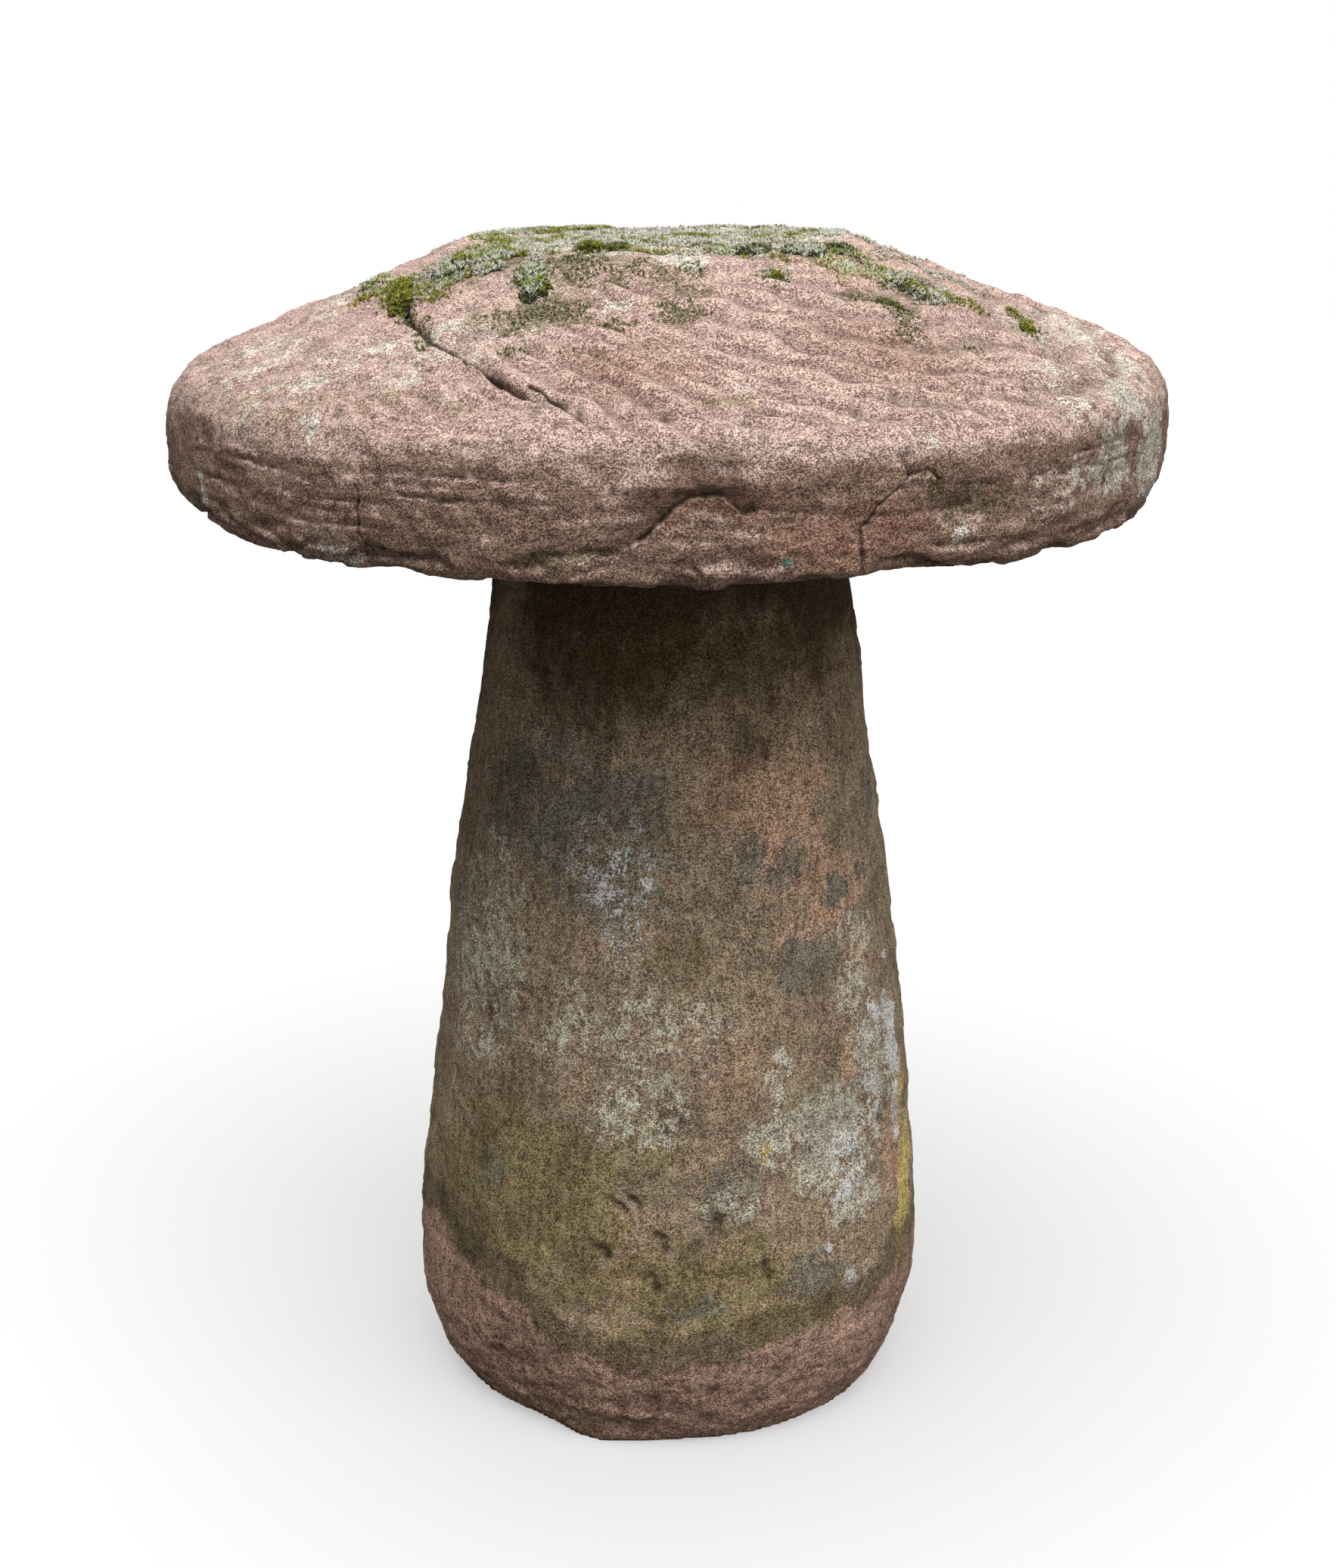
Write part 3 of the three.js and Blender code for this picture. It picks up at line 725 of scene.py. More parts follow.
def carved_stem(spot, normal):
    """Where a vertex of the stem goes. Its two flat faces stay where the solid has them."""
    if abs(normal.z) > 0.8:
        # The flat faces get an even painted shade.
        return Vector((spot.x, spot.y, STEM_TOP if spot.z > STEM_TOP / 2 else 0)), 0.3
    out, dirt_and_shade = stem_relief(spot)
    ends = step(0, 14, spot.z) * step(0, 8, STEM_TOP - spot.z)
    moved = spot + normal * out * (0.35 + 0.65 * ends)
    moved.z = min(max(moved.z, 0), STEM_TOP)
    return moved, dirt_and_shade


def near_pit(spot):
    place = Vector((bearing_of(spot) * STEM_MM_PER_DEGREE, spot.z))
    return any(to_route(place, stroke, PIT_REACH + 1)[0] < PIT_REACH for stroke in PIT_STROKES)


def on_front_foot(spot):
    return 6 < spot.z < 74 and abs(between(bearing_of(spot), -90)) < 75


refine(stem_skin, STEM_SQUARE / 2, near_pit)
refine(stem_skin, STEM_SQUARE / 2, on_front_foot)
carve(stem_skin, carved_stem)
print("stem squares:", len(stem_skin.faces))

# %% [markdown]
# ## Stains of the cap
# Algae, lichen, rust and soil stain old stone in patches whose edges are as ragged as the stone is rough.
# They are only colour, so they add no relief. A patch could be worked out in the material, but the two
# hundred of them there would be worked out again for every ray. Here each is a row of a place, a size and
# a strength. The rows are read once for each vertex, and what they give is kept as numbers on the mesh.
# These are the rows of the cap, seen from above for its slope and rolled out flat for its rim.

# %% Stains of the cap
CAP_COATS = {                          # x, y, half width, half depth, strength, all in plan
    "algae": (
        (-58, -108, 30, 34, 0.9), (-78, -167, 38, 24, 1.1), (-82, -203, 11, 8, 0.9),
        (-44, -214, 16, 9, 0.8), (-31, -185, 12, 10, 0.8), (-44, -96, 24, 22, 0.8),
        (-13, -126, 30, 22, 0.7), (6, -154, 24, 14, 0.7), (-37, -141, 16, 12, 0.6),
        (12, -122, 18, 16, 0.7), (7, -175, 24, 12, 0.85), (110, -121, 14, 8, 0.7),
        (134, -160, 22, 10, 0.8), (150, -178, 14, 6, 0.6), (174, -155, 12, 6, 0.7), (-120, -80, 60, 34, 1),
        (70, -70, 60, 30, 0.8), (140, -76, 40, 30, 0.8), (-150, -100, 20, 20, 1),
        (-112, -165, 10, 30, 0.8), (212, -84, 14, 34, 0.8), (128, -128, 22, 16, 0.8),
        (-30, -55, 50, 30, 0.8), (120, 110, 60, 34, 0.9), (-40, 165, 70, 30, 0.8), (-150, 90, 34, 52, 0.9),
        (40, 220, 50, 20, 0.7), (190, 70, 24, 50, 0.8), (-200, -20, 16, 40, 0.8), (-96, 216, 34, 16, 0.6),
        (0, 20, 120, 90, 0.75),
    ),
    "crust": (
        (11, -97, 20, 32, 2.0), (-124, -166, 10, 8, 1.3), (-30, -159, 11, 6, 1.3),
        (-160, -160, 11, 9, 0.9), (-196, -184, 18, 10, 0.75), (-224, -170, 14, 9, 0.75),
        (-240, -100, 34, 70, 0.5), (-150, -190, 40, 16, 0.36), (140, -262, 9, 5, 1),
        (262, -150, 16, 34, 1.05), (272, -100, 14, 60, 0.75), (250, -40, 40, 60, 0.6),
        (-60, 6, 70, 40, 0.9), (60, 30, 70, 50, 0.85), (-196, -228, 10, 6, 0.8), (-236, -196, 16, 8, 0.7),
        (-110, 130, 60, 40, 0.75), (90, 190, 50, 30, 0.8), (-60, 250, 46, 18, 0.8),
        (210, 130, 40, 50, 0.7), (-230, 90, 30, 60, 0.75), (40, -250, 14, 5, 0.5),
        (-205, -150, 60, 60, 0.3), (0, 10, 140, 112, 0.9), (-190, -40, 50, 60, 0.4),
        (-130, -190, 80, 50, 0.32), (235, -90, 60, 80, 0.36), (226, -172, 40, 50, 0.42),
    ),
    "blush": ((120, -190, 70, 60, 0.5), (-20, -230, 60, 50, 0.45), (60, 200, 80, 50, 0.5)),
    "teal": (),                         # there is some on the rim only
    "ochre": (
        (-196, -214, 46, 14, 0.8), (-232, -182, 24, 16, 0.9), (-111, -260, 22, 7, 0.8),
        (30, -262, 26, 7, 0.7), (-150, -236, 22, 9, 0.7), (120, 240, 50, 16, 0.8),
        (-180, 190, 40, 20, 0.7), (240, 60, 20, 40, 0.6),
    ),
}
RIM_COATS = {                          # bearing, height, half width in mm, half height, strength
    "crust": (
        (-150, 628, 7, 20, 1.3), (-127, 622, 22, 9, 0.62), (-59.3, 630, 7.5, 6.5, 2.8),
        (-35, 650, 34, 24, 0.85), (-46, 642, 40, 24, 0.4), (-41, 642, 16, 10, 0.7), (-31, 646, 12, 7, 0.9),
        (-46, 631, 14, 8, 0.6), (-24, 650, 30, 44, 1.1), (-124, 612, 10, 5, 0.8), (60, 650, 40, 24, 0.7),
        (100, 640, 18, 26, 0.9), (138, 664, 60, 14, 0.7), (176, 640, 40, 20, 0.7), (12, 636, 20, 26, 0.8),
    ),
    "algae": (
        (-101, 621, 26, 9, 0.8), (-63, 650, 10, 14, 0.7), (-58, 643, 30, 10, 0.75), (70, 620, 90, 12, 0.8),
        (130, 616, 60, 10, 0.7), (20, 640, 70, 14, 0.7), (-170, 618, 60, 10, 0.7),
    ),
    "ochre": ((-76, 616, 12, 6, 0.7), (-160, 660, 40, 14, 0.5)),
    # The middle row of the blush is painted shade over the front flake's hollow face.
    "blush": ((-72, 632, 66, 26, 1.25), (-86, 655, 44, 17, 1.2), (100, 634, 70, 24, 0.8)),
    "teal": ((-79, 618, 5, 4, 1.6), (132, 640, 6, 5, 1.4)),
}
cap_rows = [rows for coats in (CAP_COATS, RIM_COATS) for rows in coats.values()]
print("patches on the cap:", sum(len(rows) for rows in cap_rows))

# %% [markdown]
# ## Stains of the stem
# The stem shows them best, since the rain that washes the cap hardly reaches it: slate grey and rust
# above, pale lichen and white crusts lower down, a few ochre patches, and olive algae on the damp lower
# half. Their rows are rolled out flat too.

# %% Stains of the stem
STEM_COATS = {                         # bearing, height, half width in mm, half height, strength
    "slate": (
        (-120, 425, 110, 62, 0.8), (-152, 335, 54, 60, 0.45), (-17, 415, 16, 24, 1.2),
        (-58, 386, 34, 15, 1.0), (-44, 366, 26, 13, 0.95), (-33, 372, 16, 9, 0.9),
        (-71, 400, 14, 24, 0.85), (-50, 322, 40, 26, 0.8), (-103, 388, 60, 40, 0.8),
        (-76, 190, 26, 26, 0.6), (-84, 108, 26, 14, 0.5), (-56, 112, 26, 22, 0.7),
        (-135, 180, 20, 26, 0.6), (60, 430, 120, 50, 1.0), (122, 330, 46, 90, 0.9),
        (165, 420, 60, 40, 0.9), (20, 330, 40, 30, 0.8), (85, 250, 40, 30, 0.7),
    ),
    "rust": (
        (-61, 408, 50, 40, 1.15), (-48, 376, 46, 26, 1.2), (-36, 366, 26, 22, 1.2),
        (-50, 345, 46, 22, 0.75), (-62, 436, 80, 34, 0.7), (-40, 320, 40, 30, 0.6),
        (-150, 536, 34, 20, 1.0), (-42, 250, 20, 30, 0.5), (-25, 170, 26, 60, 0.8),
        (-22, 110, 20, 30, 0.8), (-100, 140, 30, 34, 0.55), (-75, 262, 40, 30, 0.5),
        (-110, 260, 20, 20, 0.4), (70, 385, 60, 26, 0.9), (150, 200, 40, 50, 0.8), (30, 120, 50, 34, 0.8),
        (105, 480, 30, 30, 0.8), (178, 320, 40, 30, 0.7),
    ),
    "lichen": (
        (-100, 290, 100, 52, 0.3), (-62, 264, 9, 12, 1.0), (-65, 245, 8, 16, 0.9), (-67, 212, 26, 22, 1.0),
        (-49, 206, 42, 44, 1.2), (-44, 168, 26, 26, 1.1), (-32, 236, 26, 56, 0.8), (-38, 290, 22, 44, 0.6),
        (-74, 176, 30, 14, 0.5), (-145, 320, 70, 100, 0.5), (-95, 240, 50, 26, 0.5),
        (-38, 330, 40, 20, 0.45), (62, 300, 70, 50, 1.0), (110, 200, 60, 40, 0.9), (20, 220, 40, 50, 1.1),
        (150, 300, 40, 40, 0.9), (178, 180, 40, 60, 0.9), (80, 150, 40, 24, 0.8),
    ),
    "chalk": (
        (-47, 167, 11, 12, 1.5), (-46, 104, 9, 9, 1.6), (-52, 132, 6, 5, 1.0), (-23, 250, 14, 36, 2.0),
        (-24, 204, 10, 22, 0.8), (-35, 231, 13, 12, 1.2), (-24, 184, 8, 14, 0.7), (-23, 299, 5, 6, 1.5),
        (-37, 206, 22, 20, 0.5), (-141, 31, 7, 13, 1.2), (-30, 272, 12, 30, 0.5), (-45, 186, 26, 26, 0.6),
        (24, 240, 12, 24, 1.3), (64, 180, 10, 10, 1.2), (112, 226, 14, 9, 1.1), (150, 330, 10, 26, 1.1),
        (172, 140, 9, 9, 1.2),
    ),
    "ochre": (
        (-21, 136, 15, 30, 1.7), (-26, 102, 11, 24, 1.5), (-17, 166, 14, 30, 1.4), (-67, 204, 8, 7, 0.8),
        (-20, 216, 9, 26, 0.9), (-38, 214, 10, 16, 0.5), (38, 150, 20, 30, 0.9), (140, 130, 16, 24, 0.9),
        (92, 300, 12, 14, 0.8),
    ),
    "olive": (
        (-128, 165, 130, 90, 1.0), (-84, 120, 100, 50, 0.8), (-95, 225, 40, 40, 0.5),
        (-60, 96, 60, 24, 0.8), (-86, 330, 40, 30, 0.5), (-120, 300, 20, 60, 0.4), (60, 120, 120, 60, 0.9),
        (130, 140, 100, 70, 0.9), (20, 420, 60, 60, 0.6), (-176, 150, 60, 70, 0.8), (92, 420, 50, 40, 0.7),
    ),
    "specks": (
        (-107, 392, 34, 36, 0.24), (-98, 398, 26, 38, 0.24), (-101, 350, 24, 30, 0.2),
        (70, 340, 30, 30, 0.3), (-108, 384, 11, 9, 0.62), (-98, 381, 8, 15, 0.62),
        (-118, 388, 9, 10, 0.42), (-97, 352, 6, 14, 0.4),
    ),
}
print("patches on the stem:", sum(len(rows) for rows in STEM_COATS.values()))

# %% [markdown]
# ## Staining the stones
# The rows are put to use here, together with the stains that follow a simple rule: grime with painted
# shade where the cap faces out or down, soot with painted shade under the cap, and the line of the soil
# that the foot once stood in. Noise draws all their edges out of shape, and the material only frays them
# by its finer noises.

# %% Staining the stones
def strongest(place, rows):
    """The strongest of some patches at a place: 0 outside them all, and 1 or more well inside."""
    best = 0
    for x, y, wide, high, strength in rows:
        across = abs(place.x - x)
        up = abs(place.y - y)
        if across < wide and up < high:
            value = strength * (1 - (across / wide) ** 2 - (up / high) ** 2)
            best = max(best, value)
    return best


def rolled_out(coats, mm_per_degree):
    """The rows with their bearings as millimetres round the stone."""
    return {name: [(row[0] * mm_per_degree, *row[1:]) for row in rows] for name, rows in coats.items()}


RIM_ROWS = rolled_out(RIM_COATS, RIM_MM_PER_DEGREE)
STEM_ROWS = rolled_out(STEM_COATS, STEM_MM_PER_DEGREE)


def soil_line(bearing):
    """How high the ground stood round the stem."""
    line = 72 + 44 * fade(between(bearing, -155), 50) + 14 * fade(between(bearing, -15), 60)
    return line - 12 * fade(between(bearing, -88), 25)


def cap_coats(spot, normal):
    """The strength of every coat of the cap at a place that faces along a normal."""
    place = Vector((bearing_of(spot) * RIM_MM_PER_DEGREE, spot.z))
    on_rim_face = spot.z < RIM_TOP
    values = {}
    for name, rows in CAP_COATS.items():
        values[name] = strongest(place, RIM_ROWS[name]) if on_rim_face else strongest(spot.xy, rows)
    # Grime together with painted shade: darker where the cap faces out, darker still underneath.
    values["grime"] = 0.95 * (1 - step(-0.05, 0.45, normal.z)) + (0.3 if normal.z < -0.5 else 0)
    return values


def stem_coats(spot, _normal):
    """The strength of every coat of the stem at a place, whichever way it faces."""
    bearing = bearing_of(spot)
    place = Vector((bearing * STEM_MM_PER_DEGREE, spot.z))
    values = {name: strongest(place, rows) for name, rows in STEM_ROWS.items()}
    # Soot together with painted shade, darkening the stem towards the cap, less on the washed corner.
    washed = 1 - 0.45 * fade(between(bearing, -148), 26)
    values["soot"] = washed * step(395, 590, spot.z + 40 * noise.noise(spot / 60))
    above_soil = spot.z - soil_line(bearing)
    values["soil"] = 0.5 - above_soil / 22
    values["tide"] = 1.1 * fade(above_soil - 12, 26)
    return values


SLOW_COATS = ("grime", "soot", "soil", "tide", "blush")         # whose edges stay soft


def stain(skin, coats_of):
    """Keeps the strength of every coat on each vertex, with its patches drawn out of shape by noise."""
    skin.normal_update()
    names = sorted(coats_of(Vector(), Vector()))
    for name in names:
        skin.verts.layers.float.new(name)
    layers = {name: skin.verts.layers.float[name] for name in names}
    for vertex in skin.verts:
        spot = vertex.co / MM
        ragged = 0.5 * noise.noise(spot / 19) + 0.4 * noise.noise(spot / 8)
        drifted = spot + 11 * noise.noise_vector(spot / 30) + 5 * noise.noise_vector(spot / 10)
        for name, value in coats_of(drifted, vertex.normal).items():
            shown = value + ragged * min(max(value, 0) * 2, 1) * (0.35 if name in SLOW_COATS else 1)
            vertex[layers[name]] = min(max(shown, 0), 1.2)
    return names


print("coats of the cap:", *stain(cap_skin, cap_coats))
print("coats of the stem:", *stain(stem_skin, stem_coats))

# %% [markdown]
# ## Helpers for node trees
# A material of many coats is a long chain of small nodes. Linked one by one they would hide what the
# chain does, so a few helpers each add one kind of node and give back its output. A material then reads
# like a recipe.

# %% Helpers for node trees
def calc(tree, operation, *values, clamp=False):
    """The output of a Math node."""
    node = add_node(tree, "ShaderNodeMath", operation=operation, use_clamp=clamp)
    for socket, value in zip(node.inputs, values):
        feed(tree, socket, value)
    return node.outputs[0]


def eased(tree, value, low, high):
    """0 where the value is below low, 1 where it is above high, with a smooth rise between."""
    node = add_node(tree, "ShaderNodeMapRange", {"Value": value, "From Min": low, "From Max": high},
                    interpolation_type="SMOOTHSTEP")
    return node.outputs["Result"]


def opaque(colour):
    """A colour's socket as it is, or its red, green and blue with a full alpha."""
    return colour if isinstance(colour, bpy.types.NodeSocket) else (*colour, 1)


def laid_on(tree, factor, under, over, blend="MIX"):
    """A colour laid on another by a factor."""
    inputs = {"Factor": factor, "A": opaque(under), "B": opaque(over)}
    node = add_node(tree, "ShaderNodeMix", inputs, data_type="RGBA", blend_type=blend)
    return next(socket for socket in node.outputs if socket.enabled)


def new_group(name, inputs, outputs):
    """An empty node group with float or vector inputs and float outputs, and its two end nodes."""
    tree = bpy.data.node_groups.new(name, "ShaderNodeTree")
    for label, default in inputs.items():
        kind = "NodeSocketVector" if default is None else "NodeSocketFloat"
        socket = tree.interface.new_socket(name=label, in_out="INPUT", socket_type=kind)
        if default is not None:
            socket.default_value = default
    for label in outputs:
        tree.interface.new_socket(name=label, in_out="OUTPUT", socket_type="NodeSocketFloat")
    return tree, tree.nodes.new("NodeGroupInput").outputs, tree.nodes.new("NodeGroupOutput").inputs


print("helpers:", *(helper.__name__ for helper in (calc, eased, opaque, laid_on, new_group)))

# %% [markdown]
# ## Shared shader groups
# Both stones are the same sandstone, so they share their grain, their slow changes of tone, their streaks
# and the way a coat frays. Each of these is a node group, built once and placed in a material with its own
# values. A group puts out only numbers, and the shader itself stays in the material.

# %% Shared shader groups
def make_sand_grain():
    """Rounded grains of sand: how light each one is, and how far it stands out."""
    inputs = {"Vector": None, "Grains Per Metre": 700}
    tree, given, result = new_group("Sand grain", inputs, ("Speckle", "Height"))
    grains = add_node(tree, "ShaderNodeTexVoronoi",
                      {"Vector": given["Vector"], "Scale": given["Grains Per Metre"], "Randomness": 1})
    own_tone = add_node(tree, "ShaderNodeSeparateColor", {"Color": grains.outputs["Color"]}).outputs[0]
    crowd_scale = calc(tree, "MULTIPLY", given["Grains Per Metre"], 0.42)
    crowd = add_node(tree, "ShaderNodeTexNoise",
                     {"Vector": given["Vector"], "Scale": crowd_scale, "Detail": 2})
    dome = calc(tree, "SUBTRACT", 1, grains.outputs["Distance"])
    light = calc(tree, "MULTIPLY_ADD", own_tone, 1.25, calc(tree, "MULTIPLY", dome, 0.3))
    light = calc(tree, "MULTIPLY_ADD", crowd.outputs[0], 0.2, calc(tree, "SUBTRACT", light, 0.43))
    tree.links.new(eased(tree, light, 0.05, 0.95), result["Speckle"])
    height = calc(tree, "MULTIPLY_ADD", own_tone, 0.5, dome)
    tree.links.new(calc(tree, "ADD", height, crowd.outputs[0]), result["Height"])
    return tree


def make_weather():
    """Four noises of falling size, for slow changes of tone, for mottling and for ragged edges."""
    tree, given, result = new_group("Weather", {"Vector": None}, ("Broad", "Medium", "Fine", "Pepper"))
    for name, scale, detail in (("Broad", 9, 3), ("Medium", 42, 4), ("Fine", 170, 3), ("Pepper", 560, 2)):
        cloud = add_node(tree, "ShaderNodeTexNoise",
                         {"Vector": given["Vector"], "Scale": scale, "Detail": detail, "Roughness": 0.6})
        tree.links.new(eased(tree, cloud.outputs[0], 0.28, 0.72), result[name])
    return tree


def make_streaks():
    """Noise that is drawn out along the axes where the stretch is least."""
    tree, given, result = new_group("Streaks", {"Vector": None, "Stretch": None}, ("Streak",))
    drawn_out = add_node(tree, "ShaderNodeVectorMath", operation="MULTIPLY")
    tree.links.new(given["Vector"], drawn_out.inputs[0])
    tree.links.new(given["Stretch"], drawn_out.inputs[1])
    cloud = add_node(tree, "ShaderNodeTexNoise",
                     {"Vector": drawn_out.outputs[0], "Scale": 190, "Detail": 4, "Roughness": 0.65})
    tree.links.new(eased(tree, cloud.outputs[0], 0.3, 0.7), result["Streak"])
    return tree


COAT_EDGE = 0.45                        # the strength at which a coat is half there


def make_frayed_coat():
    """Turns the slow strength of a coat into a mask whose edge is frayed by finer noises."""
    inputs = {"Coat": 0, "Medium": 0.5, "Fine": 0.5, "Pepper": 0.5, "Fray": 0.7, "Edge": 0.18}
    tree, given, result = new_group("Frayed coat", inputs, ("Mask",))
    rough = calc(tree, "MULTIPLY_ADD", given["Medium"], 0.35, -1)
    rough = calc(tree, "MULTIPLY_ADD", given["Fine"], 0.85, rough)
    rough = calc(tree, "MULTIPLY_ADD", given["Pepper"], 0.8, rough)
    value = calc(tree, "MULTIPLY_ADD", rough, given["Fray"], given["Coat"])
    low = calc(tree, "SUBTRACT", COAT_EDGE, given["Edge"])
    high = calc(tree, "ADD", COAT_EDGE, given["Edge"])
    mask = calc(tree, "MULTIPLY", eased(tree, value, low, high), eased(tree, given["Coat"], 0.02, 0.3))
    tree.links.new(mask, result["Mask"])
    return tree


SAND_GRAIN = make_sand_grain()
WEATHER = make_weather()
STREAKS = make_streaks()
FRAYED_COAT = make_frayed_coat()
print("groups:", [group.name for group in (SAND_GRAIN, WEATHER, STREAKS, FRAYED_COAT)])

# %% [markdown]
# ## The sandstone and what covers it
# The stone is pink and sandy where the rain washes it, and brown with dirt and painted shade on the rim
# and below. Each material starts from two tones of bare stone and lays its coats on one by one, as they
# came on the real stone. The grain then shows through them all, and dirt with painted shade in cracks,
# hollows and low places comes last. The surface is dull, so roughness stays high everywhere, and the
# bump is only the grain and the finest noise, because every larger form is in the mesh.

# %% The sandstone and what covers it
CAP_TONES = ((0.71, 0.495, 0.42), (0.675, 0.50, 0.42))
CAP_COATINGS = (                       # coat, colour, second colour, strength, fray, softness of its edge
    # Grime together with painted shade, where the cap faces out or down.
    ("grime", (0.46, 0.30, 0.228), (0.405, 0.266, 0.20), 1.0, 0.1, 0.5),
    ("ochre", (0.66, 0.50, 0.30), (0.60, 0.47, 0.33), 0.6, 0.5, 0.2),
    ("algae", (0.15, 0.155, 0.06), (0.20, 0.17, 0.08), 0.75, 1.7, 0.12),
    ("crust", (0.92, 0.86, 0.75), (0.78, 0.73, 0.61), 0.85, 0.8, 0.15),
    # The blush is a brown tint of the stone, and over the front flake painted shade.
    ("blush", (0.45, 0.245, 0.17), (0.42, 0.24, 0.17), 0.75, 0.4, 0.4),
    ("teal", (0.14, 0.34, 0.30), (0.18, 0.38, 0.33), 0.9, 0.5, 0.15),
)
STEM_TONES = ((0.59, 0.43, 0.30), (0.465, 0.375, 0.245))
STEM_COATINGS = (
    ("rust", (0.90, 0.58, 0.385), (0.77, 0.49, 0.33), 0.85, 0.5, 0.35),
    ("olive", (0.44, 0.34, 0.16), (0.36, 0.30, 0.14), 0.85, 0.35, 0.3),
    ("slate", (0.335, 0.32, 0.265), (0.27, 0.255, 0.205), 0.85, 1.1, 0.3),
    ("lichen", (0.94, 0.90, 0.76), (0.78, 0.75, 0.58), 0.85, 1.25, 0.16),
    ("ochre", (0.98, 0.78, 0.24), (0.88, 0.70, 0.26), 0.9, 0.7, 0.2),
    ("chalk", (0.99, 0.97, 0.93), (0.94, 0.92, 0.86), 0.97, 1.0, 0.12),
    ("specks", (0.97, 0.97, 0.95), (0.90, 0.91, 0.89), 0.95, 2.1, 0.06),
    # Soot together with painted shade under the cap.
    ("soot", (0.078, 0.043, 0.013), (0.11, 0.067, 0.026), 0.97, 0.12, 0.45),
    ("tide", (0.20, 0.155, 0.08), (0.27, 0.20, 0.12), 0.75, 0.5, 0.25),
    ("soil", (0.64, 0.40, 0.30), (0.54, 0.36, 0.27), 1.0, 0.2, 0.15),
)
# The colour of dirt and painted shade in cracks, hollows and low places.
DIRT_AND_SHADE = (0.055, 0.034, 0.022)
DARK_GRAIN = (0.35, 0.29, 0.27)         # shares of the stone's own tone
LIGHT_GRAIN = (1.66, 1.7, 1.72)
GRAINS_PER_METRE = 1450
BUMP_HEIGHT = 0.3                       # mm


def place_group(tree, group, **inputs):
    """The outputs of a shared group, whose inputs are fed by name, with _ for each space."""
    node = tree.nodes.new("ShaderNodeGroup")
    node.node_tree = group
    for name, value in inputs.items():
        feed(tree, node.inputs[name.replace("_", " ")], value)
    return node.outputs


def kept_number(tree, name):
    """A number that was kept on the mesh."""
    return add_node(tree, "ShaderNodeAttribute", attribute_name=name).outputs["Fac"]


def sandstone(name, tones, coatings, stretch):
    """Grainy stone with its coats laid on in turn, streaked along the way its stretch is least."""
    material, tree, output = new_material(name)
    place = tree.nodes.new("ShaderNodeTexCoord").outputs["Object"]
    weather = place_group(tree, WEATHER, Vector=place)
    grain = place_group(tree, SAND_GRAIN, Vector=place, Grains_Per_Metre=GRAINS_PER_METRE)
    mottle = calc(tree, "MULTIPLY", calc(tree, "ADD", weather["Broad"], weather["Medium"]), 0.5)
    colour = laid_on(tree, mottle, *tones)
    for coat, first, second, strength, fray, edge in coatings:
        mask = place_group(
            tree, FRAYED_COAT, Coat=kept_number(tree, coat), Medium=weather["Medium"],
            Fine=weather["Fine"], Pepper=weather["Pepper"], Fray=fray, Edge=edge)["Mask"]
        shade = laid_on(tree, weather["Medium"], first, second)
        colour = laid_on(tree, calc(tree, "MULTIPLY", mask, strength), colour, shade)
    streak = place_group(tree, STREAKS, Vector=place, Stretch=stretch)["Streak"]
    mottled = calc(tree, "MULTIPLY_ADD", weather["Fine"], 0.1, grain["Speckle"])
    mottled = calc(tree, "MULTIPLY_ADD", weather["Medium"], 0.12, mottled)
    shown = calc(tree, "MULTIPLY_ADD", streak, 0.4, calc(tree, "SUBTRACT", mottled, 0.31))
    colour = laid_on(tree, 1, colour, laid_on(tree, shown, DARK_GRAIN, LIGHT_GRAIN), "MULTIPLY")
    # Dirt and painted shade kept on the mesh darken the colour last.
    dirt_and_shade_mask = calc(tree, "MULTIPLY", kept_number(tree, "dirt_and_shade"), 0.85, clamp=True)
    colour = laid_on(tree, dirt_and_shade_mask, colour, DIRT_AND_SHADE)
    height = calc(tree, "MULTIPLY_ADD", weather["Fine"], 1.5, grain["Height"])
    bump = add_node(tree, "ShaderNodeBump",
                    {"Height": height, "Strength": 1, "Distance": BUMP_HEIGHT * MM})
    roughness = calc(tree, "MULTIPLY_ADD", weather["Medium"], 0.12, 0.84)
    shader = add_node(tree, "ShaderNodeBsdfPrincipled", {
        "Base Color": colour, "Roughness": roughness, "Specular IOR Level": 0.25, "Normal": bump.outputs[0]})
    tree.links.new(shader.outputs[0], output.inputs["Surface"])
    return material


def finished_stone(node, skin, material):
    """Makes a carved skin the piece that stands for a CAD stone."""
    mesh = bpy.data.meshes.new(node + "_stone")
    skin.to_mesh(mesh)
    skin.free()
    mesh.shade_smooth()
    mesh.materials.append(material)
    piece = new_object(node + "_stone", mesh)
    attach(piece, "root")
    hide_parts(node)
    triangles = sum(len(face.vertices) - 2 for face in mesh.polygons)
    print(piece.name, triangles, "triangles")


weathered_cap = sandstone("weathered_cap", CAP_TONES, CAP_COATINGS, stretch=(0.3, 0.3, 1.3))
stained_stem = sandstone("stained_stem", STEM_TONES, STEM_COATINGS, stretch=(1, 1, 0.25))
cap_surface = BVHTree.FromBMesh(cap_skin)          # kept for the moss to grow on
finished_stone("cap", cap_skin, weathered_cap)
finished_stone("stem", stem_skin, stained_stem)

# %% [markdown]
# ## Shoots of moss
# The mosses on the cap are cushions of upright shoots, each a small rosette of pointed leaves that end in
# a white hair. Hair curves would render well, but they aren't a mesh, so each leaf here is a closed
# spindle of six triangles: a cone with three sides, whose base is poked and drawn down to the leaf's root.
# A shoot is five to seven leaves turned round by the golden angle, which is how real ones avoid shading
# each other.

